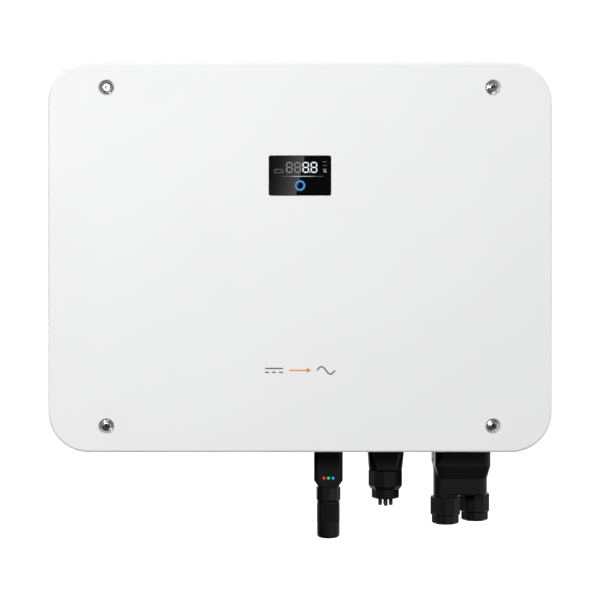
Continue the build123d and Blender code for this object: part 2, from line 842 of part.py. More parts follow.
with BuildPart() as fan_guards:
    for place in fan_places:
        for ring in (9, 17, 25, 33, 41):
            with BuildSketch(Plane((place[0], place[1], ring_z), x_dir=(1, 0, 0), z_dir=(0, 1, 0))):
                with Locations((ring, 0)):
                    Circle(guard_wire)
            revolve(axis=Axis((place[0], place[1], 0), (0, 0, 1)))
        for turn in (45, 135):
            spoke = (cos(radians(turn)), sin(radians(turn)), 0)
            with BuildSketch(Plane((place[0], place[1], spoke_z), z_dir=spoke)):
                Circle(guard_wire)
            extrude(amount=fan_screw_span * 0.7071 - fan_screw_eye, both=True)
        with BuildSketch(level(tray_z - 2 * guard_wire)):
            with Locations(place):
                with GridLocations(fan_screw_span, fan_screw_span, 2, 2):
                    Circle(fan_screw_eye + 1.5)
                    Circle(fan_screw_hole, mode=Mode.SUBTRACT)
        extrude(amount=2 * guard_wire)
write(fan_guards.part, "fan_guards")

with BuildPart() as fan_screws:
    for place in fan_places:
        with BuildSketch(level(tray_z - 2 * guard_wire)):
            with Locations(place):
                with GridLocations(fan_screw_span, fan_screw_span, 2, 2):
                    Circle(fan_screw_head)
        extrude(amount=-2.2)
        with BuildSketch(level(tray_z - 2 * guard_wire)):
            with Locations(place):
                with GridLocations(fan_screw_span, fan_screw_span, 2, 2):
                    Circle(fan_screw_hole - 0.2)
        extrude(amount=2 * guard_wire + tray_sheet + fan_thickness - 1)
        with BuildSketch(level(tray_z - 2 * guard_wire - 2.2)):
            with Locations(place):
                with GridLocations(fan_screw_span, fan_screw_span, 2, 2):
                    Rectangle(4.4, 0.9)
                    Rectangle(0.9, 4.4)
        extrude(amount=1.2, mode=Mode.SUBTRACT)
write(fan_screws.part, "fan_screws")

# ---------------------------------------------------------------------------------------------------
# Direct-current side: isolator switch, array and battery sockets, breather
# ---------------------------------------------------------------------------------------------------

switch_block, switch_block_height = 40.0, 38.0
switch_shaft = 6.0
switch_plate, switch_plate_thickness = 44.0, 4.0
knob_radius, knob_disc = 19.0, 7.0
knob_bar, knob_bar_width, knob_bar_height = 36.0, 10.0, 13.0
knob_gap = 0.6
switch_bore = switch_shaft + slip
shaft_reach = 30.0  # into the switch block
switch_place = (switch_x, switch_y)

with BuildPart() as dc_switch_body:
    with BuildSketch(level(floor_z)):
        with Locations(switch_place):
            RectangleRounded(switch_block, switch_block, 4)
            Circle(switch_bore, mode=Mode.SUBTRACT)
    extrude(amount=switch_block_height)
    # Terminal slots along two sides
    with BuildSketch(level(floor_z + switch_block_height)):
        with Locations(switch_place):
            with GridLocations(9, switch_block - 8, 4, 2):
                Rectangle(5, 8)
    extrude(amount=-14, mode=Mode.SUBTRACT)
write(dc_switch_body.part, "dc_switch_body")

with BuildPart() as dc_switch_flange:
    with BuildSketch(level(bottom_z - switch_plate_thickness)):
        with Locations(switch_place):
            RectangleRounded(switch_plate, switch_plate, 8)
    extrude(amount=switch_plate_thickness)
    chamfer(dc_switch_flange.faces().sort_by(Axis.Z)[0].edges(), 1)
    with BuildSketch(level(bottom_z)):
        with Locations(switch_place):
            Circle(switch_hole - slip)
    extrude(amount=housing_wall)
    with BuildSketch(level(bottom_z - switch_plate_thickness)):
        with Locations(switch_place):
            Circle(switch_bore)
    extrude(amount=switch_plate_thickness + housing_wall, mode=Mode.SUBTRACT)
write(dc_switch_flange.part, "dc_switch_flange")

knob_top_z = bottom_z - switch_plate_thickness - knob_gap

with BuildPart() as dc_switch_knob:
    with BuildSketch(level(knob_top_z)):
        with Locations(switch_place):
            Circle(knob_radius)
    extrude(amount=-knob_disc)
    with BuildSketch(level(knob_top_z - knob_disc)):
        with Locations(switch_place):
            SlotOverall(knob_bar, knob_bar_width)
    extrude(amount=-knob_bar_height)
    fillet(dc_switch_knob.faces().sort_by(Axis.Z)[0].edges(), 1.5)
    with BuildSketch(level(knob_top_z)):
        with Locations(switch_place):
            Circle(switch_shaft)
    extrude(amount=knob_gap + switch_plate_thickness + housing_wall + shaft_reach)
    # Pointer groove at one end of the bar
    with BuildSketch(level(knob_top_z - knob_disc - knob_bar_height)):
        with Locations((switch_x + knob_bar / 2 - 6, switch_y)):
            Rectangle(8, 1.6)
    extrude(amount=1, mode=Mode.SUBTRACT)
write(dc_switch_knob.part, "dc_switch_knob")

socket_flange, socket_flange_thickness = 10.5, 3.0
socket_barrel = 7.0
socket_reach = 18.0  # below the bottom wall
socket_thread = socket_hole - slip
socket_inside = 17.0  # above the bottom wall's outer face
socket_bore, socket_bore_depth = 4.0, 12.0
contact_radius = 1.6
nut_height = 5.0
cap_disc, cap_disc_thickness = 8.4, 3.0


def panel_sockets(places, round_flange):
    """Panel sockets through the bottom wall, each with a contact at the bottom of its bore."""
    with BuildPart() as sockets:
        with BuildSketch(level(bottom_z)):
            with Locations(*places):
                if round_flange:
                    Circle(socket_flange)
                else:
                    RegularPolygon(socket_flange, 6)
        extrude(amount=-socket_flange_thickness)
        with BuildSketch(level(bottom_z)):
            with Locations(*places):
                Circle(socket_barrel)
        extrude(amount=-socket_reach)
        with BuildSketch(level(bottom_z)):
            with Locations(*places):
                Circle(socket_thread)
        extrude(amount=socket_inside)
        with BuildSketch(level(bottom_z - socket_reach)):
            with Locations(*places):
                Circle(socket_bore)
                Circle(contact_radius, mode=Mode.SUBTRACT)
        extrude(amount=socket_bore_depth, mode=Mode.SUBTRACT)
        with BuildSketch(level(bottom_z - socket_reach)):
            with Locations(*places):
                Circle(socket_bore)
        extrude(amount=socket_bore_depth / 3, mode=Mode.SUBTRACT)
        with BuildSketch(level(bottom_z + socket_inside)):
            with Locations(*places):
                Rectangle(3, 8)
        extrude(amount=9)
    return sockets.part


pv_front_places = [(x, pv_rows[0]) for x in pv_columns]
pv_back_places = [(x, pv_rows[1]) for x in pv_columns]
battery_places = [(battery_column, y) for y in pv_rows]
write(panel_sockets(pv_front_places, True), "pv_sockets_positive")
write(panel_sockets(pv_back_places, False), "pv_sockets_negative")
write(panel_sockets(battery_places, True), "battery_sockets")

with BuildPart() as socket_nuts:
    with BuildSketch(level(floor_z)):
        with Locations(*socket_places):
            RegularPolygon(11.5, 6)
            Circle(socket_thread, mode=Mode.SUBTRACT)
    extrude(amount=nut_height)
write(socket_nuts.part, "socket_nuts")

with BuildPart() as dust_caps:
    with BuildSketch(level(bottom_z - socket_reach)):
        with Locations(*socket_places):
            Circle(cap_disc)
    extrude(amount=-cap_disc_thickness)
    fillet(dust_caps.faces().group_by(Axis.Z)[0].edges(), 1)
    with BuildSketch(level(bottom_z - socket_reach)):
        with Locations(*socket_places):
            Circle(socket_bore)
    extrude(amount=socket_bore_depth / 3)
    # Pull tab
    with BuildSketch(level(bottom_z - socket_reach - cap_disc_thickness)):
        with Locations(*socket_places):
            SlotOverall(8, 2.4)
    extrude(amount=-1.6)
write(dust_caps.part, "dust_caps")

with BuildPart() as vent_valve:
    with BuildSketch(level(bottom_z)):
        with Locations((vent_x, vent_y)):
            RegularPolygon(10, 6)
    extrude(amount=-4)
    with BuildSketch(level(bottom_z - 4)):
        with Locations((vent_x, vent_y)):
            Circle(8)
    extrude(amount=-5)
    fillet(vent_valve.faces().sort_by(Axis.Z)[0].edges(), 1)
    with BuildSketch(level(bottom_z)):
        with Locations((vent_x, vent_y)):
            Circle(vent_hole - slip)
    extrude(amount=housing_wall + 6)
    # Air slots around the cap
    with BuildSketch(level(bottom_z - 4.5)):
        with Locations((vent_x, vent_y)):
            with PolarLocations(8, 6):
                Rectangle(3, 2.5)
    extrude(amount=-2, mode=Mode.SUBTRACT)
write(vent_valve.part, "vent_valve")

# ---------------------------------------------------------------------------------------------------
# Communication dongle
# ---------------------------------------------------------------------------------------------------

plug_top_z = bottom_z - port_flange - seat_gap
dongle_place = (dongle_x, dongle_y)
dongle_flat_z = plug_top_z - dongle_length
dongle_shoulder_z = dongle_flat_z - dongle_taper
collar_bottom_z = dongle_shoulder_z - collar_height
grip_bottom_z = collar_bottom_z - grip_height
dongle_front_y = dongle_y - dongle_depth / 2
port_barrel = 15.0  # how far the port reaches into the housing

with BuildPart() as dongle_port:
    with BuildSketch(level(bottom_z)):
        with Locations(dongle_place):
            Circle(17)
    extrude(amount=-port_flange)
    with BuildSketch(level(bottom_z)):
        with Locations(dongle_place):
            Circle(dongle_hole - slip)
    extrude(amount=port_barrel)
    with BuildSketch(level(bottom_z - port_flange)):
        with Locations(dongle_place):
            Circle(nose_radius + slip)
    extrude(amount=port_flange + nose_length - 2, mode=Mode.SUBTRACT)
write(dongle_port.part, "dongle_port")



def dongle_outline(width, depth):
    """A rectangle with its corners cut off, on the current sketch."""
    with Locations(dongle_place):
        outline = Rectangle(width, depth)
    chamfer(outline.vertices(), dongle_corner)


with BuildPart() as dongle_body:
    with BuildSketch(level(dongle_flat_z)):
        dongle_outline(dongle_width, dongle_depth)
    extrude(amount=dongle_length)
    fillet(dongle_body.edges().filter_by(Axis.Z), 1.2)
    fillet(dongle_body.faces().sort_by(Axis.Z)[-1].edges(), 1.2)
    with BuildSketch(level(dongle_flat_z)):
        dongle_outline(dongle_width, dongle_depth)
    with BuildSketch(level(dongle_shoulder_z)):
        dongle_outline(dongle_width - 2 * dongle_taper_in, dongle_depth - 2)
    loft()
    with BuildSketch(level(plug_top_z)):
        with Locations(dongle_place):
            Circle(nose_radius)
    extrude(amount=nose_length)
    with BuildSketch(level(dongle_shoulder_z)):
        with Locations(dongle_place):
            Circle(dongle_neck)
    extrude(amount=-(collar_height + grip_height / 2))
    with BuildSketch(wall_plane(dongle_front_y)):
        with Locations((dongle_x, dongle_flat_z + led_rise)):
            with GridLocations(led_pitch, 0, 3, 1):
                Circle(led_radius)
    extrude(amount=-2, mode=Mode.SUBTRACT)
write(dongle_body.part, "dongle_body")

with BuildPart() as dongle_lights:
    with BuildSketch(wall_plane(dongle_front_y)):
        with Locations((dongle_x, dongle_flat_z + led_rise)):
            with GridLocations(led_pitch, 0, 3, 1):
                Circle(led_radius)
    extrude(amount=-2)
write(dongle_lights.part, "dongle_lights")

with BuildPart() as dongle_collar:
    with BuildSketch(level(dongle_shoulder_z)):
        with Locations(dongle_place):
            RegularPolygon(collar_radius, nut_sides, rotation=collar_corner)
    extrude(amount=-(collar_height - 0.5))
    chamfer(dongle_collar.faces().sort_by(Axis.Z)[-1].edges(), 1)
    chamfer(dongle_collar.faces().sort_by(Axis.Z)[0].edges(), 1)
    with BuildSketch(level(dongle_shoulder_z)):
        with Locations(dongle_place):
            Circle(dongle_neck)
    extrude(amount=-collar_height, mode=Mode.SUBTRACT)
write(dongle_collar.part, "dongle_collar")

flute_count, flute_radius, flute_length, flute_drop = 15, 2.2, 25.5, 2.6
grip_entry = 3.3  # hole for a network cable
flute_z = collar_bottom_z - flute_drop - flute_length / 2

with BuildPart() as dongle_cap:
    with BuildSketch(level(collar_bottom_z)):
        with Locations(dongle_place):
            Circle(grip_radius)
    extrude(amount=-grip_height)
    fillet(dongle_cap.faces().sort_by(Axis.Z)[0].edges(), 4)
    chamfer(dongle_cap.faces().sort_by(Axis.Z)[-1].edges(), 0.8)
    # Grip flutes with round ends
    for flute in range(flute_count):
        out = radians(360 / flute_count * flute - 90)
        middle = (dongle_x + (grip_radius + 0.8) * cos(out), dongle_y + (grip_radius + 0.8) * sin(out))
        with BuildSketch(Plane((*middle, flute_z), x_dir=(0, 0, 1), z_dir=(-sin(out), cos(out), 0))):
            with BuildLine():
                Line((-flute_length / 2, 0), (flute_length / 2, 0))
                Line((flute_length / 2, 0), (flute_length / 2 - flute_radius, flute_radius))
                Line((flute_length / 2 - flute_radius, flute_radius), (flute_radius - flute_length / 2, flute_radius))
                Line((flute_radius - flute_length / 2, flute_radius), (-flute_length / 2, 0))
            make_face()
        revolve(axis=Axis((*middle, 0), (0, 0, 1)), mode=Mode.SUBTRACT)
    with BuildSketch(level(collar_bottom_z)):
        with Locations(dongle_place):
            Circle(dongle_neck + slip)
    extrude(amount=-(grip_height / 2 + 1), mode=Mode.SUBTRACT)
    with BuildSketch(level(grip_bottom_z)):
        with Locations(dongle_place):
            Circle(grip_entry)
    extrude(amount=grip_height, mode=Mode.SUBTRACT)
write(dongle_cap.part, "dongle_cap")

# ---------------------------------------------------------------------------------------------------
# Signal connector
# ---------------------------------------------------------------------------------------------------

com_place = (com_x, com_y)
com_nose = 14.0
com_taper_top_z = plug_top_z - com_block
com_shoulder_z = com_taper_top_z - com_taper
com_nut_top_z = com_shoulder_z - 0.4
com_nut_bottom_z = com_nut_top_z - com_nut_height
com_cap_bottom_z = com_nut_bottom_z - com_cap_height
com_neck_end_z = com_nut_bottom_z + 6
com_seal_radius = 13.5
com_lip = 2.0
com_mouth = 12.0
shield_top, shield_foot = 39.0, 23.0
nose_wall = 3.0

with BuildPart() as com_port:
    with BuildSketch(level(bottom_z)):
        with Locations(com_place):
            RectangleRounded(com_width + 4, com_depth + 4, 6)
    extrude(amount=-port_flange)
    with BuildSketch(level(bottom_z)):
        with Locations(com_place):
            RectangleRounded(com_hole_width - 2 * slip, com_hole_depth - 2 * slip, 4)
    extrude(amount=port_barrel)
    with BuildSketch(level(bottom_z - port_flange)):
        with Locations(com_place):
            Rectangle(com_hole_width - 2 * nose_wall, com_hole_depth - 2 * nose_wall)
    extrude(amount=port_flange + com_nose - 2, mode=Mode.SUBTRACT)
write(com_port.part, "com_port")

latch_wide, latch_tall, latch_thick, latch_proud = 13.0, 17.0, 4.0, 0.8
latch_travel_space = 2.0
latch_z = plug_top_z - 3.5 - latch_tall / 2

with BuildPart() as com_plug:
    with BuildSketch(level(com_taper_top_z)):
        with Locations(com_place):
            RectangleRounded(com_width, com_depth, 5)
    extrude(amount=com_block)
    fillet(com_plug.faces().sort_by(Axis.Z)[-1].edges(), 1.2)
    with BuildSketch(level(com_taper_top_z)):
        with Locations(com_place):
            RectangleRounded(com_width, com_depth, 5)
    with BuildSketch(level(com_shoulder_z)):
        with Locations(com_place):
            RectangleRounded(com_width - 2 * com_taper_in, com_depth - 6, 12)
    loft()
    # Raised wedge with slanting sides on the front and back
    with BuildSketch(wall_plane(com_y)):
        with BuildLine():
            Polyline(
                (com_x - shield_top / 2, plug_top_z - 1),
                (com_x + shield_top / 2, plug_top_z - 1),
                (com_x + shield_foot / 2, com_shoulder_z + 1),
                (com_x - shield_foot / 2, com_shoulder_z + 1),
                close=True,
            )
        make_face()
    extrude(amount=com_depth / 2 + 1.5, both=True)
    with BuildSketch(level(plug_top_z)):
        with Locations(com_place):
            Rectangle(com_hole_width - 2 * nose_wall - 2 * slip, com_hole_depth - 2 * nose_wall - 2 * slip)
    extrude(amount=com_nose)
    with BuildSketch(level(com_shoulder_z)):
        with Locations(com_place):
            Circle(com_neck_radius)
    extrude(amount=-(com_shoulder_z - com_neck_end_z))
    # Wiring space, open at the neck
    with BuildSketch(level(com_neck_end_z)):
        with Locations(com_place):
            Circle(com_neck_radius - 2)
    extrude(amount=plug_top_z - 4 - com_neck_end_z, mode=Mode.SUBTRACT)
    # Pockets for the two latches
    for side in (-1, 1):
        with BuildSketch(Plane.YZ.offset(com_x + side * com_width / 2)):
            with Locations((com_y, latch_z)):
                Rectangle(latch_wide + 2 * slip, latch_tall + 2 * slip)
        extrude(amount=-side * (latch_thick + latch_travel_space), mode=Mode.SUBTRACT)
write(com_plug.part, "com_plug")

for side, latch_name in ((-1, "com_latch_left"), (1, "com_latch_right")):
    with BuildPart() as com_latch:
        with BuildSketch(Plane.YZ.offset(com_x + side * (com_width / 2 + latch_proud))):
            with Locations((com_y, latch_z)):
                Rectangle(latch_wide, latch_tall)
        extrude(amount=-side * latch_thick)
        # Ribs for the fingertip
        for rib in (-5, -2.5, 0, 2.5, 5):
            with BuildSketch(Plane.YZ.offset(com_x + side * (com_width / 2 + latch_proud))):
                with Locations((com_y, latch_z + rib)):
                    Rectangle(latch_wide - 3, 1.1)
            extrude(amount=side * 0.5)
    write(com_latch.part, latch_name)

with BuildPart() as com_nut:
    with BuildSketch(level(com_nut_bottom_z)):
        with Locations(com_place):
            RegularPolygon(com_nut_radius, nut_sides, rotation=nut_corner)
    extrude(amount=com_nut_height)
    chamfer(com_nut.faces().sort_by(Axis.Z)[0].edges(), com_nut_chamfer, com_nut_chamfer * 0.7)
    chamfer(com_nut.faces().sort_by(Axis.Z)[-1].edges(), 0.8)
    with BuildSketch(level(com_nut_bottom_z)):
        with Locations(com_place):
            RegularPolygon(com_cap_radius, nut_sides, rotation=nut_corner)
    extrude(amount=-com_cap_height)
    chamfer(com_nut.faces().sort_by(Axis.Z)[0].edges(), 1.5)
    with BuildSketch(level(com_cap_bottom_z + com_lip)):
        with Locations(com_place):
            Circle(com_neck_radius + slip)
    extrude(amount=com_nut_top_z - com_cap_bottom_z - com_lip, mode=Mode.SUBTRACT)
    with BuildSketch(level(com_cap_bottom_z)):
        with Locations(com_place):
            Circle(com_mouth)
    extrude(amount=com_lip, mode=Mode.SUBTRACT)
write(com_nut.part, "com_nut")

com_rods = [(com_x + com_rod_circle * cos(radians(a)), com_y + com_rod_circle * sin(radians(a)))
            for a in (0, 90, 180, 270)]

with BuildPart() as com_seal:
    with BuildSketch(level(com_cap_bottom_z + com_lip + slip)):
        with Locations(com_place):
            Circle(com_seal_radius)
        with Locations(*com_rods):
            Circle(com_rod_radius, mode=Mode.SUBTRACT)
    extrude(amount=com_neck_end_z - com_cap_bottom_z - com_lip - slip)
write(com_seal.part, "com_seal")

with BuildPart() as com_sealing_plugs:
    with BuildSketch(level(com_neck_end_z + 2)):
        with Locations(*com_rods):
            Circle(com_rod_radius)
    extrude(amount=-(com_neck_end_z + 2 - com_cap_bottom_z + com_rod_out))
    fillet(com_sealing_plugs.faces().group_by(Axis.Z)[0].edges(), 0.8)
write(com_sealing_plugs.part, "com_sealing_plugs")

# ---------------------------------------------------------------------------------------------------
# Mains connector
# ---------------------------------------------------------------------------------------------------

ac_place = (ac_x, ac_y)
ac_nose = 14.0
ac_wall = 3.0
ac_taper_top_z = plug_top_z - ac_block
ac_lower_top_z = ac_taper_top_z - ac_taper
ac_body_end_z = ac_lower_top_z - ac_lower
ac_barrel_end_z = ac_body_end_z - ac_barrel_length
ac_nut_top_z = ac_barrel_end_z - 0.5
ac_nut_bottom_z = ac_nut_top_z - ac_nut_height
ac_cap_bottom_z = ac_nut_bottom_z - ac_cap_height
ac_neck_end_z = ac_barrel_end_z - ac_neck_length
ac_lip = 3.0
ac_lock_wide, ac_lock_tall, ac_lock_thick = 16.0, 26.0, 3.5
ac_lock_travel = 5.0
ac_lock_z = plug_top_z - 4 - ac_lock_tall / 2

with BuildPart() as ac_port:
    with BuildSketch(level(bottom_z)):
        with Locations(ac_place):
            RectangleRounded(ac_width + 5, ac_depth + 5, 8)
    extrude(amount=-port_flange)
    with BuildSketch(level(bottom_z)):
        with Locations(ac_place):
            RectangleRounded(ac_hole_width - 2 * slip, ac_hole_depth - 2 * slip, 6)
    extrude(amount=port_barrel)
    with BuildSketch(level(bottom_z - port_flange)):
        with Locations(ac_place):
            Rectangle(ac_hole_width - 2 * nose_wall, ac_hole_depth - 2 * nose_wall)
    extrude(amount=port_flange + ac_nose - 2, mode=Mode.SUBTRACT)
    # Contact blades, inside the plug's open nose
    with BuildSketch(level(bottom_z + ac_nose - 2)):
        with Locations(ac_place):
            with GridLocations(11, 0, 4, 1):
                Rectangle(2, 10)
    extrude(amount=-(ac_nose + port_flange - 6))
write(ac_port.part, "ac_port")

with BuildPart() as ac_plug:
    with BuildSketch(level(ac_taper_top_z)):
        with Locations(ac_place):
            RectangleRounded(ac_width, ac_depth, 9)
    extrude(amount=ac_block)
    fillet(ac_plug.faces().sort_by(Axis.Z)[-1].edges(), 1.5)
    with BuildSketch(level(ac_taper_top_z)):
        with Locations(ac_place):
            RectangleRounded(ac_width, ac_depth, 9)
    with BuildSketch(level(ac_lower_top_z)):
        with Locations(ac_place):
            RectangleRounded(ac_width - 2 * ac_taper_in, ac_depth - 2 * ac_taper_back, 12)
    loft()
    with BuildSketch(level(ac_lower_top_z)):
        with Locations(ac_place):
            RectangleRounded(ac_width - 2 * ac_taper_in, ac_depth - 2 * ac_taper_back, 12)
    extrude(amount=-ac_lower)
    fillet(ac_plug.faces().sort_by(Axis.Z)[0].edges(), 3)
    # The two outlets swell out of the lower half
    with BuildSketch(level(ac_taper_top_z - 3)):
        with Locations(ac_front, ac_rear):
            Circle(ac_barrel_radius)
    extrude(amount=ac_barrel_end_z - ac_taper_top_z + 3)
    with BuildSketch(level(ac_barrel_end_z)):
        with Locations(ac_front, ac_rear):
            Circle(ac_neck_radius)
    extrude(amount=-ac_neck_length)
    with BuildSketch(level(plug_top_z)):
        with Locations(ac_place):
            Rectangle(ac_hole_width - 2 * nose_wall - 2 * slip, ac_hole_depth - 2 * nose_wall - 2 * slip)
    extrude(amount=ac_nose)
    # Wiring space: open towards the port, and down each outlet
    with BuildSketch(level(ac_taper_top_z)):
        with Locations(ac_place):
            Rectangle(ac_hole_width - 4 * nose_wall, ac_hole_depth - 4 * nose_wall)
    extrude(amount=ac_block + ac_nose, mode=Mode.SUBTRACT)
    with BuildSketch(level(ac_neck_end_z)):
        with Locations(ac_front, ac_rear):
            Circle(ac_neck_radius - ac_wall)
    extrude(amount=ac_taper_top_z + 1 - ac_neck_end_z, mode=Mode.SUBTRACT)
    # Track for the locking slide
    with BuildSketch(Plane.YZ.offset(ac_x - ac_width / 2)):
        with Locations((ac_y, ac_lock_z - ac_lock_travel / 2)):
            Rectangle(ac_lock_wide + 2 * slip, ac_lock_tall + ac_lock_travel + 2)
    extrude(amount=ac_lock_thick - 0.5 + slip, mode=Mode.SUBTRACT)
write(ac_plug.part, "ac_plug")

with BuildPart() as ac_lock:
    with BuildSketch(Plane.YZ.offset(ac_x - ac_width / 2 - 0.5)):
        with Locations((ac_y, ac_lock_z)):
            RectangleRounded(ac_lock_wide, ac_lock_tall, 2)
    extrude(amount=ac_lock_thick)
    for rib in range(-8, 9, 4):
        with BuildSketch(Plane.YZ.offset(ac_x - ac_width / 2 - 0.5)):
            with Locations((ac_y, ac_lock_z + rib)):
                Rectangle(ac_lock_wide - 4, 1.5)
        extrude(amount=-0.6)
write(ac_lock.part, "ac_lock")


def gland_nut(place):
    """A faceted union nut with a slimmer faceted end, hollow over the neck and open for a cable."""
    with BuildPart() as nut:
        with BuildSketch(level(ac_nut_bottom_z)):
            with Locations(place):
                RegularPolygon(ac_nut_radius, nut_sides, rotation=nut_corner)
        extrude(amount=ac_nut_height)
        chamfer(nut.faces().sort_by(Axis.Z)[-1].edges(), 1)
        chamfer(nut.faces().sort_by(Axis.Z)[0].edges(), 1.5)
        with BuildSketch(level(ac_nut_bottom_z)):
            with Locations(place):
                RegularPolygon(ac_cap_radius, nut_sides, rotation=nut_corner)
        extrude(amount=-ac_cap_height)
        chamfer(nut.faces().sort_by(Axis.Z)[0].edges(), 2)
        with BuildSketch(level(ac_cap_bottom_z + ac_lip)):
            with Locations(place):
                Circle(ac_neck_radius + slip)
        extrude(amount=ac_nut_top_z - ac_cap_bottom_z - ac_lip, mode=Mode.SUBTRACT)
        with BuildSketch(level(ac_cap_bottom_z)):
            with Locations(place):
                Circle(cable_radius + 1)
        extrude(amount=ac_lip, mode=Mode.SUBTRACT)
    return nut.part


write(gland_nut(ac_front), "ac_nut_front")
write(gland_nut(ac_rear), "ac_nut_rear")

with BuildPart() as ac_seals:
    with BuildSketch(level(ac_cap_bottom_z + ac_lip + slip)):
        with Locations(ac_front, ac_rear):
            Circle(ac_neck_radius - 0.5)
            Circle(cable_radius, mode=Mode.SUBTRACT)
    extrude(amount=ac_neck_end_z - ac_cap_bottom_z - ac_lip - slip)
write(ac_seals.part, "ac_seals")

with BuildPart() as earth_screw:
    with BuildSketch(level(bottom_z)):
        with Locations((earth_x, earth_y)):
            Circle(8)
    extrude(amount=-1.5)
    with BuildSketch(level(bottom_z - 1.5)):
        with Locations((earth_x, earth_y)):
            RegularPolygon(5.8, 6)
    extrude(amount=-4)
    with BuildSketch(level(bottom_z)):
        with Locations((earth_x, earth_y)):
            Circle(3)
    extrude(amount=housing_wall + 8)
    with BuildSketch(level(floor_z)):
        with Locations((earth_x, earth_y)):
            RegularPolygon(5.8, 6)
    extrude(amount=4.5)
write(earth_screw.part, "earth_screw")

# ---------------------------------------------------------------------------------------------------
# Inside: power stage on the heatsink, filters, boards
# ---------------------------------------------------------------------------------------------------

module_width, module_height, module_depth = 62.0, 44.0, 16.0
module_y = base_front_y - module_depth
board_back_y = module_y
power_board_width, power_board_height, power_board_thickness = 500.0, 260.0, 2.0
power_front_y = board_back_y - power_board_thickness
control_width, control_height, control_thickness = 240.0, 170.0, 1.6
control_back_y = -190.0
control_front_y = control_back_y - control_thickness
control_z = centre_z + 70.0
panel_width, panel_height, panel_thickness = 76.0, 48.0, 1.6
panel_back_y = -232.4
panel_front_y = panel_back_y - panel_thickness
pillar = 4.0
thin_pillar = 2.6
outer_pillars = [(side * 235, heatsink_z + rise) for side in (-1, 1) for rise in (-115, 0, 115)]
control_pillars = [(sx * 112, control_z + sz * 77) for sx in (-1, 1) for sz in (-1, 1)]
panel_pillars = [(sx * 34, display_z + sz * 20) for sx in (-1, 1) for sz in (-1, 1)]

with BuildPart() as power_modules:
    with BuildSketch(wall_plane(base_front_y)):
        with Locations((0, heatsink_z - 45)):
            with GridLocations(92, 0, 4, 1):
                RectangleRounded(module_width, module_height, 2)
    extrude(amount=module_depth)
write(power_modules.part, "power_modules")

with BuildPart() as power_board:
    with BuildSketch(wall_plane(board_back_y)):
        with Locations((0, heatsink_z)):
            RectangleRounded(power_board_width, power_board_height, 4)
    extrude(amount=power_board_thickness)
write(power_board.part, "power_board")

with BuildPart() as control_board:
    with BuildSketch(wall_plane(control_back_y)):
        with Locations((0, control_z)):
            RectangleRounded(control_width, control_height, 3)
    extrude(amount=control_thickness)
    # Processor, connectors and relays as blocks soldered to the board
    with BuildSketch(wall_plane(control_front_y)):
        with Locations((0, control_z - 30)):
            Rectangle(28, 28)
        with Locations((-70, control_z + 10), (-70, control_z - 40), (72, control_z - 45)):
            Rectangle(20, 34)
    extrude(amount=4)
    with BuildSketch(wall_plane(control_front_y)):
        with Locations((0, control_z - control_height / 2 + 8)):
            with GridLocations(34, 0, 5, 1):
                Rectangle(26, 9)
    extrude(amount=9)
write(control_board.part, "control_board")

with BuildPart() as display_board:
    with BuildSketch(wall_plane(panel_back_y)):
        with Locations((0, display_z)):
            RectangleRounded(panel_width, panel_height, 2)
    extrude(amount=panel_thickness)
    with BuildSketch(wall_plane(panel_front_y)):
        with Locations((digits_shift, display_z + digit_rise)):
            Rectangle(4 * digit_pitch, digit_height + 4)
    extrude(amount=2.5)
write(display_board.part, "display_board")

with BuildPart() as board_pillars:
    with BuildSketch(wall_plane(inner_back_y)):
        with Locations(*outer_pillars):
            RegularPolygon(pillar, 6)
    extrude(amount=inner_back_y - board_back_y)
    with BuildSketch(wall_plane(power_front_y)):
        with Locations(*control_pillars):
            RegularPolygon(pillar, 6)
    extrude(amount=power_front_y - control_back_y)
    with BuildSketch(wall_plane(control_front_y)):
        with Locations(*panel_pillars):
            RegularPolygon(thin_pillar, 6)
    extrude(amount=control_front_y - panel_back_y)
write(board_pillars.part, "board_pillars")

with BuildPart() as board_screws:
    for seat_y, points in (
        (power_front_y, outer_pillars),
        (control_front_y, control_pillars),
        (panel_front_y, panel_pillars),
    ):
        with BuildSketch(wall_plane(seat_y)):
            with Locations(*points):
                Circle(2.8)
        extrude(amount=2)
        with BuildSketch(wall_plane(seat_y - 2)):
            with Locations(*points):
                Rectangle(3.4, 0.7)
                Rectangle(0.7, 3.4)
        extrude(amount=-1, mode=Mode.SUBTRACT)
write(board_screws.part, "board_screws")

with BuildPart() as link_capacitors:
    with BuildSketch(wall_plane(power_front_y)):
        with Locations((0, heatsink_z + 52)):
            with GridLocations(40, 44, 5, 2):
                Circle(17.5)
    extrude(amount=50)
    fillet(link_capacitors.faces().group_by(Axis.Y)[0].edges(), 1.5)
write(link_capacitors.part, "link_capacitors")

with BuildPart() as boost_inductors:
    with BuildSketch(wall_plane(power_front_y)):
        with Locations((-173, heatsink_z + 50)):
            with GridLocations(56, 58, 2, 2):
                RectangleRounded(50, 52, 5)
    extrude(amount=44)
    fillet(boost_inductors.faces().group_by(Axis.Y)[0].edges(), 2)
write(boost_inductors.part, "boost_inductors")

toroid_places = [(150, heatsink_z + 72), (216, heatsink_z + 72), (183, heatsink_z + 12)]
choke_places = [(-204, heatsink_z - 84), (-148, heatsink_z - 84)]

for coil_name, places, outer, inner, height in (
    ("filter_inductors", toroid_places, 30, 12, 30),
    ("interference_chokes", choke_places, 25, 10, 26),
):
    with BuildPart() as coils:
        with BuildSketch(wall_plane(power_front_y)):
            with Locations(*places):
                Circle(outer)
                Circle(inner, mode=Mode.SUBTRACT)
        extrude(amount=height)
        fillet(coils.faces().group_by(Axis.Y)[0].edges(), 5)
    write(coils.part, coil_name)

with BuildPart() as output_relays:
    with BuildSketch(wall_plane(power_front_y)):
        with Locations((122, heatsink_z - 100)):
            with GridLocations(36, 0, 6, 1):
                Rectangle(30, 26)
    extrude(amount=24)
    chamfer(output_relays.faces().group_by(Axis.Y)[0].edges(), 0.8)
write(output_relays.part, "output_relays")
